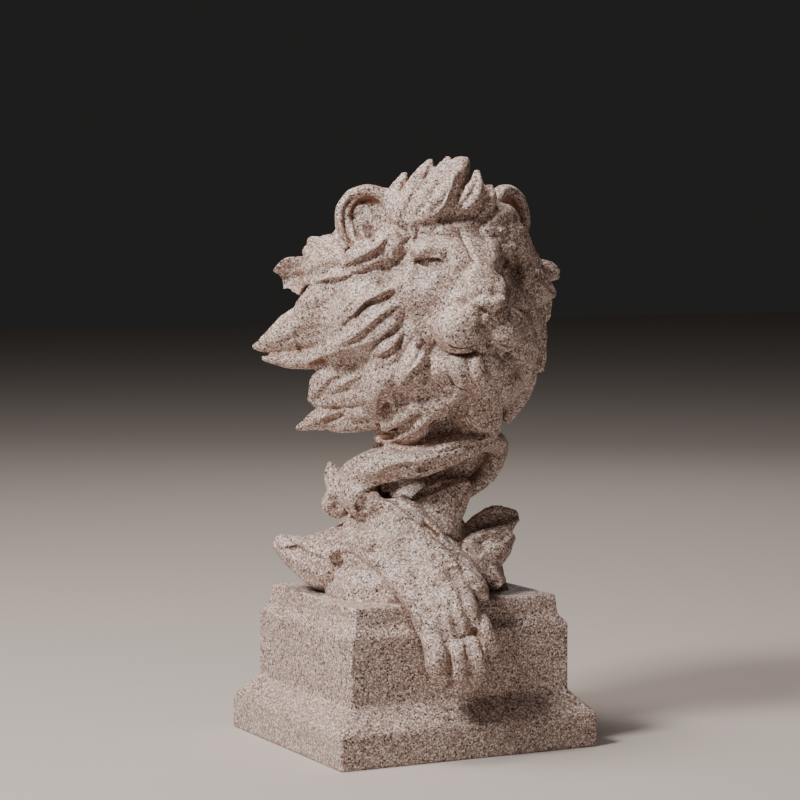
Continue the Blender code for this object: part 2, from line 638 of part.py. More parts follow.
def plinth():
    """The stepped plinth: foot, splay, dado, shoulder and cap, with softened edges."""
    solid = bmesh.new()
    size = Matrix.Diagonal((FOOT_WIDTH, FOOT_DEPTH, FOOT_HEIGHT, 1))
    bmesh.ops.create_cube(solid, size=1, matrix=Matrix.Translation((0, 0, FOOT_HEIGHT / 2)) @ size)
    top = max(solid.faces, key=lambda face: face.calc_center_median().z)
    top = raise_course(solid, top, SPLAY_HEIGHT, DADO_INSET)
    top = raise_course(solid, top, DADO_HEIGHT, 0)
    top = raise_course(solid, top, SHOULDER_HEIGHT, CAP_INSET)
    raise_course(solid, top, CAP_HEIGHT, CAP_BATTER)
    bmesh.ops.bevel(
        solid,
        geom=list(solid.edges),
        offset=EDGE_ROUND,
        segments=2,
        profile=0.5,
        affect="EDGES",
        clamp_overlap=True,
    )
    mesh = bpy.data.meshes.new("plinth")
    solid.to_mesh(mesh)
    solid.free()
    return mesh


def stone():
    """Warm greige sand-filled stone with a faint sheen."""
    made = bpy.data.materials.new("sand_cast_stone")
    made.use_nodes = True
    shader = made.node_tree.nodes["Principled BSDF"]
    shader.inputs["Base Color"].default_value = STONE
    shader.inputs["Roughness"].default_value = 0.5
    shader.inputs["Metallic"].default_value = 0.0
    return made


def keep_face_fine(figure):
    """Marks how freely the skin may be thinned: least on the face, most on the back."""
    group = figure.vertex_groups.new(name="coarse")
    nose = head_point(0, 40, 0)
    for vert in figure.data.vertices:
        far = (vert.co - nose).length / UNIT
        share = (far - FINE_REACH) / (COARSE_REACH - FINE_REACH)
        group.add([vert.index], min(max(share, 0.0), 1.0), "REPLACE")


def build():
    """Works the figure, raises the plinth and joins them as one casting."""
    for old in list(bpy.data.objects):
        bpy.data.objects.remove(old)
    collection = bpy.data.collections.new("lion_head_statue")
    cutters = bpy.data.collections.new("cutters")
    for group in (collection, cutters):
        bpy.context.scene.collection.children.link(group)
    core = head_core(cutters)
    clay = bmesh.new()
    clay.from_mesh(core)
    for side in (-1, 1):
        ear(clay, side)
    mane(clay)
    beard(clay)
    features(clay)
    neck(clay)
    drape(clay)
    leaf(clay)
    foreleg(clay)
    worked = fused(clay_object("figure", clay, cutters), CLAY_GRAIN, SKIN_PASSES)
    face_strokes(worked, SKIN_STROKES)
    figure = new_object("figure", worked, cutters)
    figure.hide_render = True
    figure.display_type = "WIRE"
    keep_face_fine(figure)
    thin = figure.modifiers.new("Thin", "DECIMATE")
    thin.ratio = FIGURE_TRIANGLES / (2 * len(worked.polygons))
    thin.vertex_group = "coarse"
    thin.vertex_group_factor = COARSE_FACTOR
    thin.use_collapse_triangulate = True
    statue = new_object("lion_head_statue", plinth(), collection)
    join = statue.modifiers.new("Join", "BOOLEAN")
    join.operation = "UNION"
    join.solver = "EXACT"
    join.object = figure
    statue.data.materials.append(stone())


if __name__ == "__main__":
    build()
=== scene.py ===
"""Studio scene of a lion head statue, cast in one piece of speckled, sand-filled stone.

The lion faces -Y over the front of a stepped plinth, with +X on its left and +Z up. Forms are
drawn in millimetres from the middle of the plinth's underside. What the three-quarter view shows
is drawn on a sheet, as it is seen from that viewpoint, and carved into the skin where it lands.
"""

import logging
import math
import random
from collections.abc import Sequence
from dataclasses import dataclass, field
from enum import Enum

import bmesh
import bpy
import numpy as np
from mathutils import Matrix, Vector, noise
from mathutils.bvhtree import BVHTree


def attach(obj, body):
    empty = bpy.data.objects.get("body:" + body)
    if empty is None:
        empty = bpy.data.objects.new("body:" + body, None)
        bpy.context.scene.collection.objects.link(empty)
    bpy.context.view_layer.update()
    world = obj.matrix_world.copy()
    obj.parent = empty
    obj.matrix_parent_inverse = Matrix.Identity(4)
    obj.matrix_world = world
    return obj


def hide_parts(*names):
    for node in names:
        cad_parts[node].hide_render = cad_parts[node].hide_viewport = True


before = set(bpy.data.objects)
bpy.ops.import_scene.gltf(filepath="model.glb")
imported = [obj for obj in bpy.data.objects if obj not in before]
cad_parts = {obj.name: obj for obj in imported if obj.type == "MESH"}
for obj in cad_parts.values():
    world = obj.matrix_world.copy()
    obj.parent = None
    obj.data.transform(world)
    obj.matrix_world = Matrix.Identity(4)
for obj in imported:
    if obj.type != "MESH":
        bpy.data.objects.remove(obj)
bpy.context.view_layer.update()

log = logging.getLogger("lion_head_statue")

MM = 0.001
NODE = "lion_head_statue"
TINY = 1e-12  # a length below this counts as none
DOT = 1e-3  # the length that stands for a dot, in millimetres
LEAST_TURN = 1e-3  # the least angle that a lock turns through, in radians
BALL_SPLITS = 5  # how often a ball's faces are split
Point = tuple[float, float, float]
Pair = tuple[float, float]
Line = np.ndarray


def smooth_path(points: Sequence[Sequence[float]], count: int) -> Line:
    """Evenly counted points on a Catmull-Rom curve.

    Args:
        points: The points that the curve runs through.
        count: How many points to return.

    Returns:
        The curve, one point a row.
    """
    given = np.array(points, float)
    given = np.vstack([2 * given[0] - given[1], given, 2 * given[-1] - given[-2]])
    spans = len(given) - 3
    curve = []
    for step in np.linspace(0, spans, count):
        i = min(int(step), spans - 1)
        t = step - i
        a, b, c, d = given[i : i + 4]
        square = (2 * a - 5 * b + 4 * c - d) * t**2
        cube = (3 * b - a - 3 * c + d) * t**3
        curve.append(0.5 * (2 * b + (c - a) * t + square + cube))
    return np.array(curve)


def unit_rows(rows: Line) -> Line:
    """The rows, each scaled to length one."""
    return rows / np.maximum(np.linalg.norm(rows, axis=1, keepdims=True), TINY)


def spread(sizes: Sequence[float], count: int) -> Line:
    """The listed sizes, evenly spread over count points."""
    return np.interp(np.linspace(0, 1, count), np.linspace(0, 1, len(sizes)), sizes)


@dataclass(frozen=True)
class Viewpoint:
    """The three-quarter view that the visible side is drawn from, on a square sheet."""

    place: Point = (-523.5668, -1041.8550, 227.0779)
    yaw: float = 26.449678
    pitch: float = -3.980326
    roll: float = -0.1
    lens: float = 122.455
    film: float = 36.0
    sheet: float = 800.0
    nearest: float = 0.01

    def axes(self) -> tuple[Vector, Vector, Vector]:
        """Right, up and forward of the view.

        Returns:
            The three unit directions.
        """
        yaw, pitch, roll = (math.radians(a) for a in (self.yaw, self.pitch, self.roll))
        ahead = Vector(
            (
                math.sin(yaw) * math.cos(pitch),
                math.cos(yaw) * math.cos(pitch),
                math.sin(pitch),
            )
        )
        level = Vector((math.cos(yaw), -math.sin(yaw), 0.0))
        above = level.cross(ahead)
        right = level * math.cos(roll) + above * math.sin(roll)
        up = above * math.cos(roll) - level * math.sin(roll)
        return right, up, ahead

    def ray(self, u: float, v: float) -> Vector:
        """The direction from the viewpoint through a point of the sheet.

        Args:
            u: Across the sheet, from its left edge.
            v: Down the sheet, from its top edge.

        Returns:
            A direction of length one.
        """
        right, up, ahead = self.axes()
        reach = self.lens / self.film * self.sheet
        middle = self.sheet / 2
        return (ahead * reach + right * (u - middle) - up * (v - middle)).normalized()

    def at(self, u: float, v: float, near: float) -> Vector:
        """A point of the sheet placed in depth.

        Args:
            u: Across the sheet, from its left edge.
            v: Down the sheet, from its top edge.
            near: Millimetres nearer to the eye than the statue's axis.

        Returns:
            The point in millimetres.
        """
        yaw = math.radians(self.yaw)
        level = Vector((math.sin(yaw), math.cos(yaw), 0.0))
        eye = Vector(self.place)
        way = self.ray(u, v)
        return eye + way * ((-near - eye.dot(level)) / way.dot(level))

    def camera(self) -> None:
        """Stands the scene's camera at the viewpoint."""
        data = bpy.data.cameras.new("camera")
        data.lens = self.lens
        data.sensor_width = self.film
        data.clip_start = self.nearest
        right, up, ahead = self.axes()
        stand = Matrix((right, up, -ahead)).transposed().to_4x4()
        stand.translation = Vector(self.place) * MM
        made = bpy.data.objects.new("camera", data)
        made.matrix_world = stand
        bpy.context.scene.collection.objects.link(made)
        bpy.context.scene.camera = made


VIEW = Viewpoint()


class Section(Enum):
    """The shape of a form across its run."""

    ROUND = "round"
    LEAF = "leaf"
    BLADE = "blade"
    RIBBED = "ribbed"
    CUP = "cup"

    def outline(self) -> list[Pair]:
        """The section, of unit size.

        Returns:
            Its points, as (across, out) pairs.
        """
        if self is Section.ROUND:
            sides = 32
            turns = [math.tau * i / sides for i in range(sides)]
            return [(math.cos(t), math.sin(t)) for t in turns]
        if self is Section.CUP:
            return self._cup(hollow=0.6, wall=0.5, sides=16)
        grooves, depth = {
            Section.LEAF: (0, 0.0),
            Section.BLADE: (2, 0.30),
            Section.RIBBED: (3, 0.38),
        }[self]
        return self._blade(grooves, depth, under=0.55, sides=18)

    @staticmethod
    def _blade(grooves: int, depth: float, under: float, sides: int) -> list[Pair]:
        """A furrowed back and a flatter underside that meet in sharp rims.

        Args:
            grooves: How many furrows run along the back.
            depth: How deep they are, as a share of the back's height.
            under: How far the underside swells, as a share of the back's height.
            sides: How many sides each half has.

        Returns:
            The section, as (across, out) pairs.
        """
        top = []
        bottom = []
        for i in range(sides + 1):
            a = -1 + 2 * i / sides
            swell = 1 - a * a
            wave = math.cos(math.pi * (a * (grooves + 1) + grooves))
            top.append((-a, swell * (1 - depth * (0.5 + 0.5 * wave))))
            bottom.append((a, -under * swell))
        return top[:-1] + bottom[:-1]

    @staticmethod
    def _cup(hollow: float, wall: float, sides: int) -> list[Pair]:
        """Hollow and lightly furrowed on the side it faces, rounded behind.

        Args:
            hollow: How deep the hollow is.
            wall: How thick the middle is, beyond the wall at the rims.
            sides: How many sides each half has.

        Returns:
            The section, as (across, out) pairs.
        """
        furrows, rim = 0.10, 0.22
        turns = [-1 + 2 * i / sides for i in range(sides + 1)]
        furrow = [furrows * math.cos(3 * math.pi * a) * (1 - a * a) for a in turns]
        inner = [(-a, hollow * a * a + f) for a, f in zip(turns, furrow)]
        outer = [(a * 1.04, hollow * a * a - wall * (1 - a * a) - rim) for a in turns]
        return inner + outer


class Clay:
    """Overlapping forms in millimetres, gathered before they are fused into one skin."""

    def __init__(self) -> None:
        """Starts with nothing on the stand."""
        self.forms = bmesh.new()

    def ball(self, centre: Vector, radii: Point, turn: Point = (0.0, 0.0, 0.0)) -> None:
        """Adds an ellipsoid.

        Args:
            centre: Its middle.
            radii: Its half sizes before it is turned.
            turn: Degrees about X, Y and Z.
        """
        spin = Matrix.Identity(4)
        for axis, angle in zip("XYZ", turn):
            spin = Matrix.Rotation(math.radians(angle), 4, axis) @ spin
        place = Matrix.Translation(centre) @ spin @ Matrix.Diagonal([*radii, 1.0])
        bmesh.ops.create_icosphere(self.forms, subdivisions=BALL_SPLITS, radius=1, matrix=place)

    def sweep(
        self,
        path: Line,
        widths: Line,
        depths: Line,
        facing: Line,
        section: Section,
        tilt: float | Line = 0.0,
    ) -> None:
        """Skins a section along a path, closed at both ends.

        Args:
            path: The run, one point a row.
            widths: Half width at each point.
            depths: Half depth at each point.
            facing: The way the broad side looks, for the run or for each point.
            section: The shape across the run.
            tilt: Degrees that one rim is lifted by.
        """
        along = unit_rows(np.gradient(path, axis=0))
        across = unit_rows(np.cross(along, facing))
        out = np.cross(across, along)
        lean = np.radians(np.broadcast_to(tilt, len(path)))[:, None]
        across, out = (
            across * np.cos(lean) + out * np.sin(lean),
            out * np.cos(lean) - across * np.sin(lean),
        )
        outline = section.outline()
        rings = []
        for i, middle in enumerate(path):
            wide, deep = across[i] * widths[i], out[i] * depths[i]
            ring = [middle + wide * a + deep * b for a, b in outline]
            rings.append([self.forms.verts.new(point) for point in ring])
        for lower, upper in zip(rings, rings[1:]):
            for i in range(len(lower)):
                j = (i + 1) % len(lower)
                self.forms.faces.new((lower[i], lower[j], upper[j], upper[i]))
        self.forms.faces.new(reversed(rings[0]))
        self.forms.faces.new(rings[-1])

    def limb(
        self,
        points: Sequence[Sequence[float]],
        widths: Sequence[float],
        depths: Sequence[float],
        facing: Sequence,
        section: Section = Section.ROUND,
        tilt: float = 0.0,
        count: int = 30,
    ) -> None:
        """Adds a form through the given points.

        Args:
            points: The run, in millimetres.
            widths: Half widths, evenly spread over the run.
            depths: Half depths, evenly spread over the run.
            facing: One direction for the broad side, or one for each end.
            section: The shape across the run.
            tilt: Degrees that one rim is lifted by.
            count: How many rings the form has.
        """
        path = smooth_path([tuple(p) for p in points], count)
        ends = facing if len(facing) == 2 else (facing, facing)
        first, last = (np.array(tuple(end), float) for end in ends)
        looks = first + (last - first) * np.linspace(0, 1, count)[:, None]
        self.sweep(path, spread(widths, count), spread(depths, count), looks, section, tilt)

    def fuse(self, name: str, grain: float, passes: int) -> bpy.types.Mesh:
        """Fuses the forms into one skin and rubs it smooth.

        Args:
            name: The mesh's name.
            grain: The size of the skin's cells.
            passes: How often it is rubbed.

        Returns:
            The skin, still in millimetres.
        """
        bmesh.ops.recalc_face_normals(self.forms, faces=self.forms.faces)
        mesh = bpy.data.meshes.new(name)
        self.forms.to_mesh(mesh)
        self.forms.free()
        return fused(mesh, grain, passes)


def fused(mesh: bpy.types.Mesh, grain: float, passes: int) -> bpy.types.Mesh:
    """The mesh as one even skin.

    Args:
        mesh: Closed forms, which may overlap.
        grain: The size of the skin's cells.
        passes: How often it is rubbed smooth.

    Returns:
        The skin.
    """
    worked = bpy.data.objects.new(mesh.name, mesh)
    bpy.context.scene.collection.objects.link(worked)
    remesh = worked.modifiers.new("fuse", "REMESH")
    remesh.mode = "VOXEL"
    remesh.voxel_size = grain
    rub = worked.modifiers.new("rub", "SMOOTH")
    rub.factor = 0.5
    rub.iterations = passes
    return applied(worked, mesh.name)


def applied(worked: bpy.types.Object, name: str) -> bpy.types.Mesh:
    """The object's mesh with its modifiers applied, after which the object goes.

    Args:
        worked: The object.
        name: The new mesh's name.

    Returns:
        The new mesh.
    """
    bpy.context.view_layer.update()
    graph = bpy.context.evaluated_depsgraph_get()
    mesh = bpy.data.meshes.new_from_object(worked.evaluated_get(graph))
    mesh.name = name
    bpy.data.objects.remove(worked)
    return mesh


@dataclass(frozen=True)
class Cut:
    """One pull of the tool, drawn on the sheet.

    A push above zero raises a ridge and one below zero sinks a groove, in millimetres. A pinch
    draws the skin towards the run, which sharpens it.
    """

    name: str
    path: tuple[Pair, ...]
    radius: float
    push: float
    pinch: float = 0.0


@dataclass(frozen=True)
class Ledge:
    """The rim of a lock or fold, drawn on the sheet, that overhangs what lies below it.

    The lock lies on the right of the rim's run as the eye sees it. It swells by rise within
    above of the rim, the skin beyond the rim sinks by drop within below of it, and the rim
    leans out over it, all in millimetres.
    """

    name: str
    path: tuple[Pair, ...]
    rise: float
    drop: float
    above: float
    below: float
    lean: float = 0.6
    soft: float = 0.9


class Skin:
    """A fused surface that is carved with strokes; those under fine in radius are sharp."""

    fine = 3.3

    def __init__(self, mesh: bpy.types.Mesh) -> None:
        """Takes up a mesh.

        Args:
            mesh: The mesh, in millimetres.
        """
        self.mesh = mesh
        self.faces = [tuple(face.vertices) for face in mesh.polygons]
        self.points = self._read("co")
        self.refresh()

    def _read(self, what: str) -> Line:
        """A three-part value of every vertex, one a row.

        Args:
            what: The value, "co" or "normal".

        Returns:
            The values.
        """
        values = np.empty(len(self.mesh.vertices) * 3)
        self.mesh.vertices.foreach_get(what, values)
        return values.reshape(-1, 3)

    def refresh(self) -> None:
        """Works out the normals and the search tree from where the skin lies now."""
        self.mesh.vertices.foreach_set("co", self.points.ravel())
        self.mesh.update()
        self.normals = self._read("normal")
        self.tree = BVHTree.FromPolygons(self.points.tolist(), self.faces)

    def land(self, start: Vector, way: Vector) -> Vector | None:
        """Where a straight line first meets the skin."""
        return self.tree.ray_cast(start, way)[0]

    def stroke(self, line: Sequence, radius: float, push: float, pinch: float = 0.0) -> None:
        """Drags a tool along a line on the skin.

        Args:
            line: The run, in millimetres.
            radius: How far the tool reaches.
            push: Millimetres that the skin is raised by, or sunk if below zero.
            pinch: Share of the way that the skin is drawn towards the run.
        """
        run = np.array([tuple(p) for p in line], float)
        if len(run) == 1:
            run = np.vstack([run, run + DOT])
        low, high = run.min(axis=0) - radius, run.max(axis=0) + radius
        near = np.flatnonzero(np.all((self.points > low) & (self.points < high), axis=1))
        here = self.points[near]
        best = np.full(len(near), np.inf)
        foot = np.zeros((len(near), 3))
        for a, b in zip(run, run[1:]):
            leg = b - a
            t = np.clip((here - a) @ leg / max(leg @ leg, TINY), 0, 1)
            at = a + t[:, None] * leg
            far = np.linalg.norm(here - at, axis=1)
            closer = far < best
            best[closer] = far[closer]
            foot[closer] = at[closer]
        if radius < self.fine:
            fade = np.maximum(1 - best / radius, 0) ** 1.6
        else:
            fade = np.maximum(1 - (best / radius) ** 2, 0) ** 2
        here = here + self.normals[near] * (fade * push)[:, None]
        here = here + (foot - here) * (fade * pinch)[:, None]
        self.points[near] = here

    def _landed(self, path: Sequence[Pair]) -> list[Vector]:
        """Where a line of the sheet lands on the skin.

        Args:
            path: The line's points on the sheet.

        Returns:
            The points on the skin, in millimetres.
        """
        eye = Vector(VIEW.place)
        drawn = path if len(path) < 2 else smooth_path(path, 6 * len(path))
        landed = [self.land(eye, VIEW.ray(*point)) for point in drawn]
        return [point for point in landed if point is not None]

    def carve(self, cuts: Sequence[Cut], about: float | None = None) -> None:
        """Carves cuts that are drawn on the sheet, where they land on the skin.

        Args:
            cuts: The cuts.
            about: Where along X the plane stands that they are mirrored in, or None.
        """
        for cut in cuts:
            landed = self._landed(cut.path)
            if landed:
                self.stroke(landed, cut.radius, cut.push, cut.pinch)
            if landed and about is not None:
                other = [(2 * about - x, y, z) for x, y, z in landed]
                self.stroke(other, cut.radius, cut.push, cut.pinch)
        self.refresh()

    def undercut(self, ledges: Sequence[Ledge], about: float | None = None) -> None:
        """Raises the rims of locks and sinks what lies just below them.

        Args:
            ledges: The rims.
            about: Where along X the plane stands that they are mirrored in, or None.
        """
        eye = np.array(VIEW.place)
        for ledge in ledges:
            run = np.array([tuple(point) for point in self._landed(ledge.path)])
            if len(run) < 2:
                continue
            self._undercut(ledge, run, eye)
            if about is not None:
                turn, shift = np.array((-1.0, 1.0, 1.0)), np.array((2 * about, 0.0, 0.0))
                self._undercut(ledge, (run * turn + shift)[::-1], eye * turn + shift)
        self.refresh()

    def refined(self, middle: Vector, reach: Point) -> "Skin":
        """The skin with every edge halved in a box round a point.

        Args:
            middle: The middle of the box.
            reach: Half its size.

        Returns:
            The finer skin.
        """
        inside = np.all(np.abs(self.points - np.array(middle)) < np.array(reach), axis=1)
        form = bmesh.new()
        form.from_mesh(self.mesh)
        form.verts.ensure_lookup_table()
        edges = [e for e in form.edges if inside[e.verts[0].index] and inside[e.verts[1].index]]
        bmesh.ops.subdivide_edges(form, edges=edges, cuts=1, use_grid_fill=True, smooth=0.6)
        form.to_mesh(self.mesh)
        form.free()
        return Skin(self.mesh)

    def _undercut(self, ledge: Ledge, run: Line, eye: Line) -> None:
        """Works one ledge along its landed run, as seen from the eye.

        Args:
            ledge: The ledge.
            run: Where it lands, one point a row.
            eye: Where it is seen from.
        """
        reach = max(ledge.above, ledge.below)
        low, high = run.min(axis=0) - reach, run.max(axis=0) + reach
        near = np.flatnonzero(np.all((self.points > low) & (self.points < high), axis=1))
        here = self.points[near]
        to_eye = unit_rows(eye - here)
        best = np.full(len(near), np.inf)
        side = np.zeros((len(near), 3))
        offset = np.zeros(len(near))
        ends = np.zeros(len(near))
        for i, (a, b) in enumerate(zip(run, run[1:])):
            leg = b - a
            t = np.clip((here - a) @ leg / max(leg @ leg, TINY), 0, 1)
            away = here - a - t[:, None] * leg
            far = np.linalg.norm(away, axis=1)
            closer = far < best
            across = unit_rows(np.cross(leg, to_eye))
            best[closer] = far[closer]
            side[closer] = across[closer]
            offset[closer] = np.sum(away * across, axis=1)[closer]
            ends[closer] = ((i + t) / (len(run) - 1))[closer]
        tall = np.maximum(1 - best / ledge.above, 0) ** 2 * ledge.rise
        deep = np.maximum(1 - best / ledge.below, 0) ** 1.5 * ledge.drop
        share = np.clip(offset / ledge.soft + 0.5, 0, 1)
        share = share * share * (3 - 2 * share)
        fade = np.clip(4 * np.minimum(ends, 1 - ends) + 0.15, 0, 1)
        fade = fade * np.clip(2 * np.sum(self.normals[near] * to_eye, axis=1) + 0.6, 0, 1)
        out = (share * tall - (1 - share) * deep) * fade
        lean = share * np.maximum(1 - 2 * best / ledge.above, 0) * ledge.lean * fade
        self.points[near] = here + to_eye * out[:, None] - side * lean[:, None]

    def carve_face(self, cuts: Sequence[Cut], head: "Head") -> None:
        """Carves cuts that are drawn from in front of the face, on both of its sides.

        Args:
            cuts: The cuts, from the centre of the skull.
            head: The head that they belong to.
        """
        for cut in cuts:
            off_centre = any(x for x, z in cut.path)
            for side in (-1, 1) if off_centre else (1,):
                starts = [head.point(side * x, 90, z) for x, z in cut.path]
                landed = [self.land(start, Vector((0, 1, 0))) for start in starts]
                self.stroke([p for p in landed if p is not None], cut.radius, cut.push, cut.pinch)
        self.refresh()

    def weather(self, amount: float, size: float) -> None:
        """Makes the skin gently uneven, as a casting is.

        Args:
            amount: The most that it moves, in millimetres.
            size: How wide one swell is, in millimetres.
        """
        sway = np.array([noise.noise(Vector(point) / size) for point in self.points])
        self.points += self.normals * (sway * amount)[:, None]
        self.refresh()


@dataclass(frozen=True)
class PlinthSizes:
    """The plinth's courses from the ground up, in millimetres."""

    width: float = 120.0
    depth: float = 112.0
    foot: float = 14.3
    splay: float = 9.7
    dado_inset: float = 9.0
    dado: float = 28.1
    shoulder: float = 4.2
    cap_inset: float = 3.2
    cap: float = 8.0
    batter: float = 0.8
    rounding: float = 0.8
    sunk: float = 1.3
    cover: float = 0.7
    tile: float = 4.0

    @property
    def top(self) -> float:
        """The height of the slab that the figure stands on."""
        return self.foot + self.splay + self.dado + self.shoulder + self.cap

    @property
    def front(self) -> float:
        """The slab's front edge, measured along Y."""
        return -(self.depth / 2 - self.dado_inset - self.cap_inset)


@dataclass
class Plinth:
    """The stepped plinth."""

    sizes: PlinthSizes = field(default_factory=PlinthSizes)

    def build(self, clay: Clay) -> None:
        """Adds a plinth a little smaller than the real one, for the folds to melt onto.

        Args:
            clay: What it is added to.
        """
        solid = self._courses()
        for vert in solid.verts:
            vert.co -= Vector([math.copysign(self.sizes.sunk, part) for part in vert.co])
        mesh = bpy.data.meshes.new("soft_plinth")
        solid.to_mesh(mesh)
        solid.free()
        clay.forms.from_mesh(mesh)
        bpy.data.meshes.remove(mesh)

    def crisp(self) -> bpy.types.Mesh:
        """The plinth itself in millimetres, with softened edges and tiled faces.

        Returns:
            Its mesh.
        """
        s = self.sizes
        solid = self._courses()
        bmesh.ops.bevel(
            solid,
            geom=list(solid.edges),
            offset=s.rounding,
            segments=3,
            profile=0.5,
            affect="EDGES",
        )
        half = s.width / 2
        for axis, low, high in ((0, -half, half), (1, -half, half), (2, 0, s.top)):
            for place in np.arange(low + s.tile / 2, high, s.tile):
                across = Vector([place if i == axis else 0.0 for i in range(3)])
                normal = Vector([1.0 if i == axis else 0.0 for i in range(3)])
                every = [*solid.verts, *solid.edges, *solid.faces]
                bmesh.ops.bisect_plane(solid, geom=every, plane_co=across, plane_no=normal)
        mesh = bpy.data.meshes.new("plinth")
        bmesh.ops.triangulate(solid, faces=solid.faces)
        solid.to_mesh(mesh)
        solid.free()
        return mesh

    def _courses(self) -> bmesh.types.BMesh:
        """The five courses with sharp edges, one grown from the next.

        Returns:
            The solid.
        """
        s = self.sizes
        solid = bmesh.new()
        foot = Matrix.Translation((0, 0, s.foot / 2))
        foot = foot @ Matrix.Diagonal((s.width, s.depth, s.foot, 1))
        bmesh.ops.create_cube(solid, size=1, matrix=foot)
        top = max(solid.faces, key=lambda face: face.calc_center_median().z)
        for rise, inset in (
            (s.splay, s.dado_inset),
            (s.dado, 0.0),
            (s.shoulder, s.cap_inset),
            (s.cap, s.batter),
        ):
            top = self._raise(solid, top, rise, inset)
        return solid

    def holds(self, points: Line) -> Line:
        """Which of the points the plinth covers.

        Args:
            points: Points in millimetres, one a row.

        Returns:
            True for each point that it covers.
        """
        s = self.sizes
        heights = np.cumsum([0, s.foot, s.splay, s.dado, s.shoulder, s.cap])
        insets = np.cumsum([0, 0, s.dado_inset, 0, s.cap_inset, s.batter])
        inset = np.interp(points[:, 2], heights, insets) + s.cover
        low = points[:, 2] < s.top - s.cover
        flat = (np.abs(points[:, 0]) < s.width / 2 - inset) & (
            np.abs(points[:, 1]) < s.depth / 2 - inset
        )
        return low & (flat | (points[:, 2] < s.foot))

    @staticmethod
    def _raise(
        solid: bmesh.types.BMesh, face: bmesh.types.BMFace, rise: float, inset: float
    ) -> bmesh.types.BMFace:
        """Grows the next course from the top face.

        Args:
            solid: The courses so far.
            face: Their top face.
            rise: How tall the next course is.
            inset: How far its top is drawn in on each side.

        Returns:
            The new top face.
        """
        grown = bmesh.ops.extrude_discrete_faces(solid, faces=[face])["faces"][0]
        middle = grown.calc_center_median()
        for vert in grown.verts:
            for axis in (0, 1):
                vert.co[axis] -= math.copysign(inset, vert.co[axis] - middle[axis])
            vert.co.z += rise
        return grown


# The head's rounded masses, from the centre of the skull: name, (x, forward, z) and half sizes
CHEEKS = (
    ("muzzle", (9, 42, -12.5), (10.5, 11, 10)),
    ("cheekbone", (20, 18, 2), (12.5, 15.5, 14)),
    ("cheek", (20, 14, -14), (14, 19, 17)),
    ("jaw", (12, 22, -28), (15, 16, 13)),
    ("brow", (13, 26.5, 21), (12, 8.5, 6.0)),
)
MIDDLE_LINE = (
    ("lower jaw", (0, 38, -25), (10.5, 11, 9)),
    ("forehead", (0, 12, 24), (26, 14, 12)),
)
NOSE_AND_CHIN = (
    ("below the nose", (0, 50.8, -5.4), (4.4, 3.4, 5.2)),
    ("bridge of the nose", (0, 48.0, 2.2), (7.0, 6.0, 4.0)),
    ("chin", (0, 38.5, -28.5), (12.0, 8.0, 7.0)),
)
# The paired ones, which have degrees of lean as well
FEATURES = (
    ("nose wing", (5.4, 49.6, -3.8), (4.6, 3.4, 4.2), 0),
    ("eyeball", (16.2, 25.4, 14.2), (6.4, 5.2, 3.8), 0),
    ("lip pad", (9.4, 44.4, -11.4), (11.0, 9.8, 10.0), 12),
)


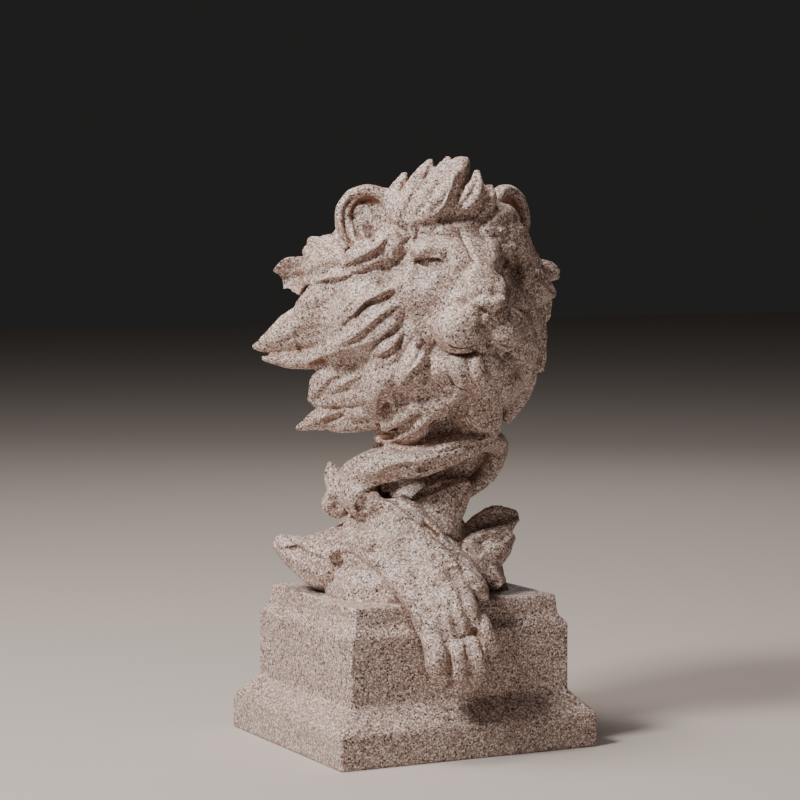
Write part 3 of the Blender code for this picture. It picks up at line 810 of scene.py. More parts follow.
@dataclass(frozen=True)
class Head:
    """Skull, brow, cheeks, muzzle, chin and ears."""

    middle: Point = (6.0, -8.0, 190.0)
    core_grain: float = 1.2
    core_passes: int = 12
    ear_place: Point = (33.0, 6.0, 34.0)
    ear_aim: Pair = (27.0, 6.0)
    ear_rim: Pair = (10.8, 11.6)
    ear_back: Point = (10.5, 3.4, 11.5)

    def point(self, x: float, forward: float, z: float) -> Vector:
        """A point of the head, drawn from the centre of the skull."""
        return Vector((self.middle[0] + x, self.middle[1] - forward, self.middle[2] + z))

    @staticmethod
    def aim(azimuth: float, elevation: float) -> Vector:
        """Unit vector from the skull, azimuth 0 ahead and positive to the lion's left."""
        a, e = math.radians(azimuth), math.radians(elevation)
        return Vector((math.sin(a) * math.cos(e), -math.cos(a) * math.cos(e), math.sin(e)))

    def build(self, clay: Clay) -> None:
        """Adds the head's forms to the clay.

        Args:
            clay: What it is added to.
        """
        clay.forms.from_mesh(self._core())
        self._features(clay)
        for side in (-1, 1):
            self._ear(clay, side)
        for tuft in CHIN:
            tuft.build(clay)

    def _core(self) -> bpy.types.Mesh:
        """Skull, brow, cheeks and muzzle, rubbed into one form before the details go on.

        Returns:
            The form's mesh.
        """
        clay = Clay()
        clay.ball(self.point(0, -2, 4), (35, 34, 36))
        snout = ((6, 1), (19, 1), (27, -2), (34, -6), (40, -8), (45, -9), (49, -8))
        clay.limb(
            [self.point(0, forward, z) for forward, z in snout],
            [33, 30, 26, 19.5, 15.5, 12, 7],
            [33, 31, 28, 25, 21, 17, 9],
            (0, 0, 1),
        )
        bridge = ((16, 27), (32, 20.5), (42, 9.5), (50, 0.5))
        clay.limb(
            [self.point(0, forward, z) for forward, z in bridge],
            [17, 12.5, 10, 9],
            [8, 7.5, 7.5, 5.5],
            (0, -0.6, 0.8),
        )
        for side in (-1, 1):
            for _, (x, forward, z), radii in CHEEKS:
                clay.ball(self.point(side * x, forward, z), radii)
        for _, place, radii in MIDDLE_LINE:
            clay.ball(self.point(*place), radii)
        skin = Skin(clay.fuse("head_core", self.core_grain, self.core_passes))
        skin.carve_face(FACE_MASSES, self)
        return skin.mesh

    def _features(self, clay: Clay) -> None:
        """Adds the eyeballs, the nose pad, the chin and the pads of the upper lip.

        Args:
            clay: What it is added to.
        """
        pad = ((-8, 48.2, -2.8), (-4.4, 52, -1.2), (0, 53, -0.8), (4.4, 52, -1.2), (8, 48.2, -2.8))
        pad_line = [self.point(*p) for p in pad]
        clay.limb(pad_line, [2.2, 3.0, 3.2, 3.0, 2.2], [2.8, 3.2, 2.8, 3.2, 2.8], (0, -1, 0))
        for _, place, radii in NOSE_AND_CHIN:
            clay.ball(self.point(*place), radii)
        for side in (-1, 1):
            for _, (x, forward, z), radii, turn in FEATURES:
                clay.ball(self.point(side * x, forward, z), radii, (0, side * turn, 0))

    def _ear(self, clay: Clay, side: int) -> None:
        """Adds a thick-rimmed ear: a rolled rim round a dished back, with its root in the mane.

        Args:
            clay: What it is added to.
            side: 1 for the lion's left and -1 for its right.
        """
        x, forward, z = self.ear_place
        middle = self.point(side * x, forward, z)
        looks = self.aim(side * self.ear_aim[0], self.ear_aim[1])
        up = Vector((side * 0.08, 0, 1)).normalized()
        across = up.cross(looks).normalized()
        up = looks.cross(across)
        turns = [math.tau * i / 24 for i in range(25)]
        wide, tall = self.ear_rim
        rim = [
            middle + across * wide * math.cos(t) + up * tall * math.sin(t) + looks for t in turns
        ]
        clay.limb(rim, [3.0, 2.6, 3.2, 3.6, 3.0], [3.4, 3.2, 3.6], tuple(looks), count=40)
        place = Matrix.Translation(middle - looks * self.ear_back[1])
        place = place @ Matrix((across, looks, up)).transposed().to_4x4()
        place = place @ Matrix.Diagonal([*self.ear_back, 1.0])
        bmesh.ops.create_icosphere(clay.forms, subdivisions=BALL_SPLITS, radius=1, matrix=place)
        clay.ball(self.point(side * 26, -2, 24), (11, 9, 12))
        for foot, lean, tip in ((-4, -4.5, 3), (-1, -1.5, 5.5), (2, 1.5, 5), (4.5, 4, 2)):
            drawn = ((foot, -10, 0.5), (lean - 1, -4, 0.2), (lean + 1, 0, 1), (lean, tip, 2.5))
            hair = [middle + across * a + up * b - looks * c for a, b, c in drawn]
            clay.limb(hair, [1.9, 1.9, 1.5, 0.5], [2.2, 2.0, 1.6, 0.6], tuple(looks))


# Seen from in front of the face, from the centre of the skull
FACE_MASSES = (
    Cut("eye hollow", ((9, 14), (15, 15), (22, 14)), 6.5, -1.7),
    Cut("inner corner", ((9.8, 12), (10.5, 5)), 4.5, -1.3),
    Cut("cheek line", ((17, 0), (20.5, -9), (21.5, -18)), 4.0, -1.0),
    Cut("brow", ((8, 22.5), (14, 23.5), (21, 21)), 4.5, 1.2),
    Cut("forehead furrow", ((0, 16), (0, 31)), 3.2, -0.8),
)
FACE_DETAILS = (Cut("philtrum", ((0, -7.5), (0, -18)), 1.8, -2.6, 0.3),)

# The near half of the face, drawn on the sheet and mirrored on the other half
FACE_CUTS = (
    Cut("upper lid swell", ((417, 253), (427, 250), (438, 251)), 3.8, 1.3),
    Cut("near forehead swell", ((446, 238), (455, 250), (462, 262)), 6.0, 1.0),
    Cut("under the eye", ((422, 276), (434, 280), (446, 288)), 6.5, -1.6),
    Cut("bridge edge", ((455, 266), (463, 277), (473, 289), (480, 298)), 3.4, 1.3, 0.2),
    Cut("cheekbone", ((402, 282), (414, 292), (428, 302)), 7.0, 1.2),
    Cut("lid crease", ((448, 249), (437, 245.5), (425, 246), (413, 251)), 1.8, -0.8),
    Cut("eye opening", ((420, 262.5), (430, 263), (440, 265)), 3.4, -1.7),
    Cut("eyeball", ((429, 263), (435, 263.5)), 3.3, 1.0),
    Cut("inner corner", ((443, 266), (446, 270)), 1.8, -2.0),
    Cut("tear line", ((446, 254), (449, 263), (450, 273)), 1.6, -1.5),
    Cut(
        "beside the muzzle",
        ((436, 338), (436, 322), (443, 310), (455, 303), (466, 303)),
        4.2, -0.3,
    ),
    Cut("cheek groove", ((435, 345), (430, 352)), 2.6, -1.4),
    Cut("nose wing", ((466, 303.5), (472, 306), (479, 309.5)), 1.6, -1.5),
    Cut("nostril", ((476, 308), (480, 309.5), (484, 311)), 2.2, -3.2),
    Cut("nose front", ((486, 303), (494, 303)), 3.6, 0.8),
)
FACE_LEDGES = (
    Ledge(
        "upper lid",
        ((444, 260), (438, 257.5), (430, 257), (422, 258), (413, 261)),
        1.3, 2.8, 2.0, 2.6, 0.5, 0.45,
    ),
    Ledge(
        "lower lid",
        ((418, 263), (425, 266.5), (433, 268.5), (443, 268)),
        1.1, 1.2, 2.2, 1.8, 0.1, 0.7,
    ),
    Ledge(
        "lip fold",
        ((480, 340), (468, 346.5), (454, 346), (440, 338)),
        1.0, 2.4, 3, 2.2, 0.3, 0.6,
    ),
    Ledge("lip edge", ((481, 345), (469, 352), (452, 352), (437, 345)), 0.8, 2.8, 2.2, 4, 0.6, 0.6),
)


@dataclass(frozen=True)
class Lock:
    """A lock of mane that leaves the head at root and ends in a point at tip.

    root and tip are (azimuth, elevation, distance from the skull's centre); bow bends the run
    sideways, curl bends it into an S, and tilt lifts one rim.
    """

    root: Point
    tip: Point
    width: float
    depth: float
    bow: float = 0.0
    curl: float = 0.0
    tilt: float = 25.0
    section: Section = Section.BLADE

    def build(self, clay: Clay, head: Head, count: int = 26) -> None:
        """Adds the lock to the clay.

        Args:
            clay: What it is added to.
            head: The head that it grows from.
            count: How many rings it has.
        """
        start, end = head.aim(*self.root[:2]), head.aim(*self.tip[:2])
        angle = max(start.angle(end), LEAST_TURN)
        middle = head.point(0, 0, 0)
        points = []
        for t in np.linspace(0, 1, count):
            aim = (start * math.sin((1 - t) * angle) + end * math.sin(t * angle)) / math.sin(angle)
            reach = self.root[2] + (self.tip[2] - self.root[2]) * t**1.5
            side = aim.cross(end - start).normalized()
            sway = self.bow * math.sin(math.pi * t) + self.curl * math.sin(2 * math.pi * t)
            points.append(tuple(middle + aim * reach + side * sway))
        path = np.array(points)
        # It widens over its first two fifths, then narrows to its tip
        t = np.linspace(0, 1, count)
        grown = 0.5 + 0.5 * np.sin(np.minimum(t / 0.4, 1) * math.pi / 2)
        shape = grown * np.maximum(1 - t**2.4, 0.0) ** 0.9 + 0.05
        facing = unit_rows(path - np.array(tuple(middle)))
        widths, depths = self.width * shape, self.depth * shape**0.7
        clay.sweep(path, widths, depths, facing, self.section, self.tilt)


@dataclass(frozen=True)
class Tuft:
    """A lock or fold drawn on the sheet.

    Each point of the run is (across, down, millimetres nearer than the axis). Widths and depths
    are half sizes in millimetres, and tilt turns the broad side about the run, in degrees.
    """

    name: str
    run: tuple[Point, ...]
    widths: tuple[float, ...]
    depths: tuple[float, ...]
    tilt: float = 0.0
    section: Section = Section.LEAF
    count: int = 30

    def build(self, clay: Clay) -> None:
        """Adds the tuft to the clay, with its broad side to the viewpoint.

        Args:
            clay: What it is added to.
        """
        points = [VIEW.at(*point) for point in self.run]
        facing = -VIEW.ray(*self.run[0][:2])
        clay.limb(
            points, self.widths, self.depths, tuple(facing), self.section, self.tilt, self.count
        )


# The chin and its short thick tufts
CHIN = (
    Tuft(
        "chin block",
        ((446, 360, 42), (462, 362, 45), (478, 362, 45), (492, 359, 40)),
        (5, 6, 6, 5), (6, 7, 7, 6), section=Section.ROUND,
    ),
    Tuft(
        "first chin tuft",
        ((450, 358, 46), (446, 368, 48), (444, 378, 46)),
        (3.6, 3.8, 1.2), (4, 4, 1.4), section=Section.ROUND,
    ),
    Tuft(
        "second chin tuft",
        ((459, 357, 48), (460, 370, 51), (464, 381, 49), (469, 388, 47)),
        (3.6, 4.6, 4, 1.2), (4, 4.6, 4, 1.4), section=Section.ROUND,
    ),
    Tuft(
        "third chin tuft",
        ((474, 357, 48), (477, 371, 51), (480, 381, 49), (484, 388, 46)),
        (3.6, 4.6, 3.8, 1.2), (4, 4.6, 4, 1.4), section=Section.ROUND,
    ),
    Tuft(
        "fourth chin tuft",
        ((487, 355, 44), (492, 366, 45), (494, 377, 42)),
        (3.6, 4, 1.4), (4, 4, 1.6), section=Section.ROUND,
    ),
)

# The mane's locks on the cheek that is seen, from the crest down
SEEN_LOCKS = (
    Tuft(
        "crest mass",
        ((398, 214, 22), (416, 208, 28), (444, 200, 29), (470, 200, 24), (484, 208, 18)),
        (5, 6.5, 6.5, 5.5, 4), (6, 7, 8, 7, 6), section=Section.ROUND,
    ),
    Tuft(
        "first crest",
        ((396, 220, 28), (396, 202, 26), (400, 188, 22), (405, 173, 18)),
        (4, 5.4, 4.2, 1.4), (5, 5, 4, 1.6), -15,
    ),
    Tuft(
        "crest side",
        ((398, 224, 32), (406, 206, 32), (412, 192, 28), (416, 183, 24)),
        (4, 5, 4, 1.6), (4, 5, 4, 2), -15,
    ),
    Tuft(
        "second crest",
        ((408, 210, 32), (415, 192, 29), (424, 175, 23), (431, 160, 17)),
        (5, 6, 4.4, 1.5), (5, 5.5, 4, 1.6), -20,
    ),
    Tuft(
        "third crest",
        ((402, 223, 32), (424, 212, 35), (444, 195, 35), (457, 171, 31)),
        (3.4, 6.8, 6.6, 1.4), (4, 6, 6, 1.6), -20,
    ),
    Tuft(
        "third crest back",
        ((414, 214, 36), (430, 198, 34), (444, 184, 30), (453, 170, 26)),
        (4, 5.6, 4.6, 1.4), (4, 6, 5, 1.6), -20,
    ),
    Tuft(
        "fourth crest",
        ((424, 204, 28), (436, 184, 25), (449, 158, 17)),
        (5, 5.8, 1.8), (5, 5, 2), -20,
    ),
    Tuft(
        "fifth crest",
        ((444, 202, 30), (453, 182, 27), (460, 167, 21), (464, 160.5, 18)),
        (5, 6.4, 5.2, 3.0), (6, 6, 5, 3.4), -15,
    ),
    Tuft(
        "sixth crest",
        ((452, 213, 31), (466, 203, 33), (475, 190, 32), (477, 171, 28)),
        (2.4, 4.6, 4.8, 1.4), (4, 5, 5, 1.6), -20,
    ),
    Tuft(
        "seventh crest",
        ((460, 220, 28), (478, 211, 29), (488, 198, 27), (489, 186, 24)),
        (2.4, 4.2, 4.4, 1.6), (4, 5, 5, 2), -15,
    ),
    Tuft(
        "upper forehead",
        ((410, 232, 30.5), (426, 227, 31.5), (446, 222, 31.5), (464, 221, 29), (478, 225, 25)),
        (4.4, 5.2, 5.4, 5.2, 4), (6, 6, 6, 6, 5), section=Section.ROUND,
    ),
    Tuft(
        "forehead",
        ((415, 238, 31), (430, 235, 33), (446, 232.5, 33.2), (462, 232, 31), (476, 236, 27.5)),
        (4.2, 4.6, 4.8, 4.6, 4), (4.2, 4.6, 4.8, 4.6, 4), section=Section.ROUND,
    ),
    Tuft(
        "crest root",
        ((396, 224, 25), (404, 232, 29), (411, 240, 31)),
        (4.2, 4.2, 3.0), (5, 5, 4), section=Section.ROUND,
    ),
    Tuft(
        "behind the far brow",
        ((494, 231, 26), (503, 235.5, 24), (511, 244, 20)),
        (4.0, 4.5, 4.0), (5, 5, 5), section=Section.ROUND,
    ),
    Tuft(
        "beside the far pad",
        ((511, 297, 23), (517, 304, 23), (521, 316, 20)),
        (4.0, 4.5, 4.0), (5, 5, 5), section=Section.ROUND,
    ),
    Tuft(
        "far brow lock",
        ((512, 222, 14), (500, 216, 22), (488, 227, 28), (477, 236, 31)),
        (5, 6, 4.4, 1.2), (5, 6, 4, 1.5),
    ),
    Tuft(
        "far temple lock",
        ((500, 222, 22), (512, 236, 19), (521, 256, 15), (523, 270, 15), (518, 284, 17)),
        (5, 7, 7, 5.5, 2), (5, 6, 5, 4, 2), 15,
    ),
    Tuft(
        "ear lobe",
        ((386, 200, 15), (394, 212, 20), (398, 226, 26), (392, 240, 28)),
        (3, 5, 5.5, 4), (4, 5, 6, 4), section=Section.ROUND,
    ),
    Tuft(
        "temple",
        ((408, 246, 26), (390, 245, 33), (364, 259, 30), (344, 274, 23)),
        (3.0, 7.4, 8, 5), (4.0, 6.6, 7, 5), 10,
    ),
    Tuft(
        "back of the ear",
        ((356, 254, 18), (336, 250, 12), (318, 250, 8), (304, 252, 5)),
        (8, 7.5, 5.5, 2.5), (7, 7, 5, 3),
    ),
    Tuft("ear tuft", ((342, 250, 13), (336, 240, 11)), (5, 3.2), (4, 3), section=Section.ROUND),
    Tuft(
        "second ear tuft",
        ((324, 252, 10), (314, 244, 7), (309, 244, 6)),
        (5, 3.6, 2.4), (4, 3.6, 2.6), section=Section.ROUND,
    ),
    Tuft(
        "blunt tip",
        ((340, 276, 17), (312, 275, 10), (292, 274, 5), (279, 279, 2)),
        (8, 8.5, 7.4, 4.6), (7, 6, 5, 3.4), 10, Section.CUP,
    ),
    Tuft(
        "broad shell",
        ((386, 300, 34), (356, 308, 29), (328, 318, 20), (304, 328, 11)),
        (12, 17, 17, 10), (7, 9, 9, 6), 8,
    ),
    Tuft(
        "long tip",
        ((330, 322, 14), (300, 330, 9), (276, 340, 5), (262, 345, 4), (252.5, 346, 3)),
        (12, 10.5, 6.4, 3.4, 0.9), (8, 7, 4.6, 2.6, 1), 10,
    ),
    Tuft(
        "under tip",
        ((340, 352, 17), (308, 359, 11), (285, 360, 7), (262, 358, 5)),
        (6.5, 4.8, 3.4, 1.2), (6, 5, 3.6, 1.4),
    ),
    Tuft(
        "cheek mane",
        ((400, 300, 36), (382, 320, 38), (358, 336, 33), (326, 350, 22)),
        (8, 12, 11, 6), (6, 8, 8, 5), 10,
    ),
    Tuft(
        "lower cheek mane",
        ((404, 328, 38), (390, 344, 40), (374, 352, 36)),
        (6, 7, 3), (5, 7, 4), 10,
    ),
    Tuft(
        "cheek point",
        ((350, 318, 32), (364, 304, 37), (380, 296, 40), (396, 287, 40)),
        (5, 5.6, 4, 1.0), (5, 5.5, 4, 1.2), -10,
    ),
    Tuft(
        "lower edge",
        ((372, 378, 24), (344, 378, 17), (322, 386, 12), (311, 402, 9)),
        (8, 8.5, 6.5, 1.8), (8, 7, 5, 2),
    ),
    Tuft(
        "lower middle",
        ((374, 394, 25), (352, 395, 19), (330, 400, 14), (313, 405, 9)),
        (5.5, 5.5, 4.4, 1), (6, 6, 4, 1), 10,
    ),
    Tuft(
        "lower spike",
        ((376, 410, 23), (345, 412, 15), (318, 420, 9), (296, 429, 5)),
        (6, 6.5, 5, 1.4), (7, 6, 4, 1.4), 5,
    ),
    Tuft(
        "short spike",
        ((380, 418, 22), (358, 422, 17), (342, 427, 13), (330, 430, 10)),
        (5, 4.4, 3.2, 1), (5, 5, 3, 1), 5,
    ),
    Tuft(
        "cheek fur",
        ((420, 330, 36), (404, 352, 38), (392, 374, 36), (386, 396, 32)),
        (8, 12, 13, 9), (6, 8, 8, 6), section=Section.ROUND,
    ),
    Tuft(
        "throat fur",
        ((456, 384, 40), (432, 398, 36), (408, 412, 32), (388, 426, 26)),
        (6, 9, 9, 6), (6, 7, 7, 5), section=Section.ROUND,
    ),
    Tuft(
        "outer fall",
        ((404, 360, 41), (384, 378, 39), (372, 398, 33), (375, 420, 26)),
        (7, 8.5, 7, 2.5), (6, 7, 6, 3), 10,
    ),
    Tuft(
        "hooked fall",
        ((422, 352, 44), (412, 366, 45), (402, 380, 42), (396, 391, 37)),
        (6, 6.5, 5, 1.8), (5, 6, 5, 2), 10,
    ),
    Tuft(
        "middle fall",
        ((440, 356, 44), (437, 368, 44), (430, 378, 42), (420, 387, 39)),
        (5, 5, 4, 1.4), (4, 5, 4, 1.6), 10,
    ),
    Tuft(
        "inner fall",
        ((450, 370, 42), (448, 383, 41), (443, 391, 39)),
        (4.5, 4, 1.4), (4, 4, 1.6),
    ),
    Tuft("crescent root", ((462, 384, 42), (452, 396, 39), (444, 404, 35)), (4.5, 4, 2), (5, 5, 3)),
    Tuft(
        "long crescent",
        ((458, 398, 36), (434, 414, 34), (412, 430, 29), (394, 440, 24), (376, 437, 19)),
        (4, 5.5, 5.5, 4, 1.6), (5, 6, 6, 4, 2), 10,
    ),
    Tuft(
        "far ear lock",
        ((505, 270, -2), (530, 271, -8), (548, 272, -10), (560, 275, -11)),
        (7, 6.5, 5, 2.4), (7, 6, 4, 2), -5,
    ),
    Tuft(
        "far sheet",
        ((524, 286, -4), (530, 314, -5), (533, 344, -7), (533, 372, -9)),
        (7, 7.2, 6.4, 5.5), (6, 6, 5, 3), section=Section.RIBBED,
    ),
    Tuft(
        "far cheek tuft",
        ((506, 292, 20), (518, 298, 16), (528, 310, 12)),
        (4.4, 4.4, 1.4), (4, 4, 1.5),
    ),
    Tuft(
        "far whisker fur",
        ((514, 306, 24), (524, 324, 20), (524, 346, 16), (518, 360, 14)),
        (4, 4.5, 4.5, 2), (5, 6, 5, 3),
    ),
    Tuft(
        "far jaw",
        ((512, 350, 8), (519, 378, 0), (512, 400, -3), (503, 422, -2)),
        (10, 8, 6, 3), (9, 8, 6, 3), section=Section.RIBBED,
    ),
    Tuft(
        "throat",
        ((470, 372, 26), (474, 400, 20), (478, 432, 14)),
        (14, 13, 10), (12, 12, 10), section=Section.ROUND,
    ),
)

# The rims of the locks: each lies on the right of its run
LOCK_LEDGES = (
    Ledge("second crest rim", ((431, 161), (424, 176), (416, 190), (413, 200)), 0.8, 2.4, 4, 3),
    Ledge(
        "third crest rim",
        ((457, 171), (452, 187), (444, 206), (434, 215), (420, 222)),
        1.2, 2.0, 4, 4, 0.5,
    ),
    Ledge("third crest top", ((456, 170), (442, 178), (430, 190), (420, 204)), 0.4, 1.6, 3, 3),
    Ledge("fourth crest rim", ((449, 158), (441, 170), (434, 184)), 0.4, 2.0, 3, 3),
    Ledge("sixth crest rim", ((477, 171), (473, 186), (464, 200), (452, 212)), 0.2, 3.0, 3, 4),
    Ledge("seventh crest rim", ((489, 188), (486, 200), (474, 212), (456, 221)), 0.6, 2.0, 3, 3),
    Ledge("far brow rim", ((513, 228), (500, 232), (488, 236), (476, 240)), 0.6, 2.6, 4, 4),
    Ledge("far temple rim", ((500, 236), (508, 248), (515, 266), (516, 282)), 0.2, 2.6, 3, 4),
    Ledge(
        "temple rim",
        ((388, 237), (378, 246), (364, 254), (350, 261), (340, 269)),
        2.0, 4.4, 4, 8, 1.0,
    ),
    Ledge(
        "second temple rim",
        ((392, 258), (376, 262), (362, 270), (347, 275)),
        1.2, 2.6, 3.5, 4, 0.8,
    ),
    Ledge(
        "shell rim",
        ((354, 274), (338, 277), (322, 280), (307, 285), (299, 297)),
        2.2, 5.0, 4, 8, 1.0,
    ),
    Ledge(
        "middle ridge",
        ((334, 330), (341, 314), (348, 299), (352, 284)),
        1.6, 1.4, 4, 7, 0.2, 1.4,
    ),
    Ledge(
        "cheek point rim",
        ((395, 289), (378, 295), (364, 302), (354, 313), (341, 327), (326, 339)),
        2.0, 5.0, 4, 6, 1.0,
    ),
    Ledge(
        "first cheek rim",
        ((397, 306), (384, 313), (372, 322), (358, 334), (344, 342), (330, 348)),
        2.0, 3.6, 4, 5, 0.9,
    ),
    Ledge(
        "second cheek rim",
        ((400, 320), (388, 331), (374, 341), (360, 349)),
        1.8, 3.4, 4, 4.5, 0.9,
    ),
    Ledge(
        "shell foot",
        ((368, 344), (352, 347), (338, 351), (316, 358), (304, 366)),
        2.2, 6.0, 5, 7, 1.2,
    ),
    Ledge("third cheek rim", ((403, 334), (394, 345), (382, 353), (370, 355)), 1.4, 3.0, 4, 5, 0.8),
    Ledge(
        "fourth cheek rim",
        ((405, 350), (396, 358), (386, 364), (376, 366)),
        0.8, 1.6, 3, 4, 0.5,
    ),
    Ledge(
        "shell inner rim",
        ((297, 300), (294, 320), (295, 342), (303, 361)),
        1.4, 1.2, 2.6, 6, 0.1,
    ),
    Ledge("long tip rim", ((300, 354), (280, 354), (258, 351)), 0.6, 1.6, 3, 2.2, 0.4),
    Ledge("lower edge rim", ((348, 372), (336, 375), (323, 385), (314, 398)), 1.4, 2.8, 3, 4, 0.8),
    Ledge(
        "lower middle rim",
        ((368, 374), (352, 380), (336, 390), (322, 400)),
        1.2, 2.0, 4, 4, 0.6,
    ),
    Ledge("lower slit", ((366, 402), (348, 405), (334, 406), (316, 405)), 1.0, 4.0, 3, 3, 0.6),
    Ledge(
        "lower spike rim",
        ((364, 406), (346, 410), (326, 418), (304, 427)),
        0.8, 2.4, 3, 4.5, 0.4,
    ),
    Ledge("short spike rim", ((374, 414), (358, 421), (342, 428)), 0.6, 2.0, 3, 3, 0.4),
    Ledge(
        "behind the outer fall",
        ((364, 376), (362, 392), (366, 408), (372, 420)),
        0.3, 3.0, 2, 5, 0.0,
    ),
    Ledge("hooked fall rim", ((427, 359), (414, 368), (406, 377), (402, 385)), 1.4, 4.6, 5, 6, 0.8),
    Ledge(
        "outer fall rim",
        ((400, 386), (391, 388), (382, 390), (377, 402), (376, 419)),
        1.6, 3.6, 4, 7, 0.6,
    ),
    Ledge("middle fall rim", ((442, 373), (434, 380), (427, 385), (420, 388)), 1.0, 2.6, 3, 4, 0.5),
    Ledge("inner fall rim", ((456, 387), (450, 390), (442, 393)), 0.8, 2.0, 3, 3, 0.4),
    Ledge("crescent root rim", ((463, 396), (455, 401), (446, 404)), 0.6, 1.4, 3, 3, 0.4),
    Ledge(
        "crescent rim",
        ((464, 396), (450, 404), (436, 412), (424, 424), (410, 434), (394, 441), (378, 441)),
        1.0, 4.0, 4, 7, 1.0,
    ),
    Ledge("far cheek rim", ((512, 306), (522, 312), (530, 312)), 0.6, 2.0, 3, 3, 0.4),
)

# Broad locks on the other cheek and over the top, which the three-quarter view hides
HIDDEN_LOCKS = (
    Lock((50, 26, 38), (98, -22, 54), 14, 9, bow=-6, curl=3, tilt=-20, section=Section.CUP),
    Lock((44, 8, 36), (84, -18, 50), 8, 6, bow=-4, tilt=-35),
    Lock((46, -2, 37), (96, -26, 52), 9, 6.5, bow=-3, tilt=-35),
    Lock((42, -15, 39), (66, -26, 50), 7, 5.5, bow=-2),
    Lock((54, -22, 42), (88, -34, 51), 8.5, 6, bow=-3),
    Lock((62, -32, 44), (108, -41, 56), 10, 6.5, bow=-3),
    Lock((70, -45, 46), (111, -48, 60), 10, 6.5, bow=-3),
    Lock((28, -28, 42), (72, -52, 54), 10, 7, bow=7, tilt=-30),
    Lock((16, -46, 46), (78, -58, 56), 9, 6, bow=7, tilt=-35),
    Lock((86, 0, 44), (116, -15, 58), 12, 7, bow=-2, tilt=-25),
    Lock((90, -12, 44), (116, -26, 57), 10, 6, bow=1, tilt=-25),
    Lock((72, 26, 42), (104, 12, 54), 10, 7, bow=-2, tilt=-25),
    Lock((54, 16, 40), (78, 2, 54), 9, 8, bow=-4, tilt=-10),
    Lock((60, 50, 38), (92, 34, 52), 10, 7, tilt=-20),
    Lock((-66, 50, 38), (-98, 40, 52), 10, 7),
    Lock((150, 84, 40), (168, 56, 56), 10, 6),
    Lock((96, 76, 40), (126, 52, 56), 10, 6),
    Lock((-96, 76, 40), (-126, 52, 56), 10, 6),
    Lock((40, 60, 40), (96, 62, 54), 10, 7, tilt=-20),
    Lock((10, 64, 42), (140, 74, 57), 10, 7, tilt=-20),
    Lock((-86, 0, 44), (-124, -15, 60), 12, 7, bow=2),
    Lock((-84, 20, 44), (-126, 8, 60), 12, 7, bow=2),
    Lock((-84, -28, 44), (-122, -40, 60), 11, 7, bow=2),
)


@dataclass(frozen=True)
class Mane:
    """The mass of the mane and every lock over it.

    The fields are for the rows behind, in degrees and millimetres. A pair of floats is a range,
    but drawn_in is how far a tip lies closer per degree up or down and per degree to the side.
    """

    head: Head
    seed: int = 7
    rows: tuple[int, ...] = (80, 62, 40, 18, -4, -26, -44)
    start: float = 96.0
    span: float = 168.0
    root: float = 40.0
    width: Pair = (9.5, 11.5)
    depth: float = 7.0
    crown: float = 60.0
    columns: tuple[int, int] = (8, 5)
    sway: Pair = (-4.0, 4.0)
    drop: Pair = (28.0, 36.0)
    reach: Pair = (58.0, 64.0)
    drawn_in: Pair = (0.07, 0.12)
    turn: Pair = (-12.0, 12.0)
    bend: Pair = (-3.0, 3.0)
    tilts: tuple[int, int] = (-26, 26)

    def build(self, clay: Clay) -> None:
        """Adds the mane's mass, then its locks.

        Args:
            clay: What it is added to.
        """
        point = self.head.point
        clay.ball(point(-2, -10, -5), (43, 37, 46))
        clay.ball(point(0, -4, 26), (32, 31, 22))
        for side in (-1, 1):
            clay.ball(point(side * 30, 8, -10), (12, 15, 30))
            clay.ball(point(side * 14, 20, -34), (16, 16, 13))
        clay.ball(VIEW.at(404, 352, 22), (14, 14, 20))
        for lock in (*HIDDEN_LOCKS, *self._back()):
            lock.build(clay, self.head)
        for tuft in SEEN_LOCKS:
            tuft.build(clay)

    def _back(self) -> list[Lock]:
        """Rows of locks over the back of the head, falling towards the neck.

        Returns:
            The locks.
        """
        chance = random.Random(self.seed)
        locks = []
        for row, elevation in enumerate(self.rows):
            columns = self.columns[elevation >= self.crown]
            for column in range(columns):
                step = self.span / columns * (column + 0.5 * (row % 2))
                azimuth = self.start + step + chance.uniform(*self.sway)
                drop = chance.uniform(*self.drop)
                reach = chance.uniform(*self.reach) - self.drawn_in[0] * abs(elevation)
                reach -= self.drawn_in[1] * abs(azimuth - 180)
                tip = (azimuth + chance.uniform(*self.turn), elevation - drop, reach)
                width = chance.uniform(*self.width)
                bow, curl = chance.uniform(*self.bend), chance.uniform(*self.bend)
                tilt = chance.choice(self.tilts)
                root = (azimuth, elevation, self.root)
                locks.append(Lock(root, tip, width, self.depth, bow, curl, tilt))
        return locks


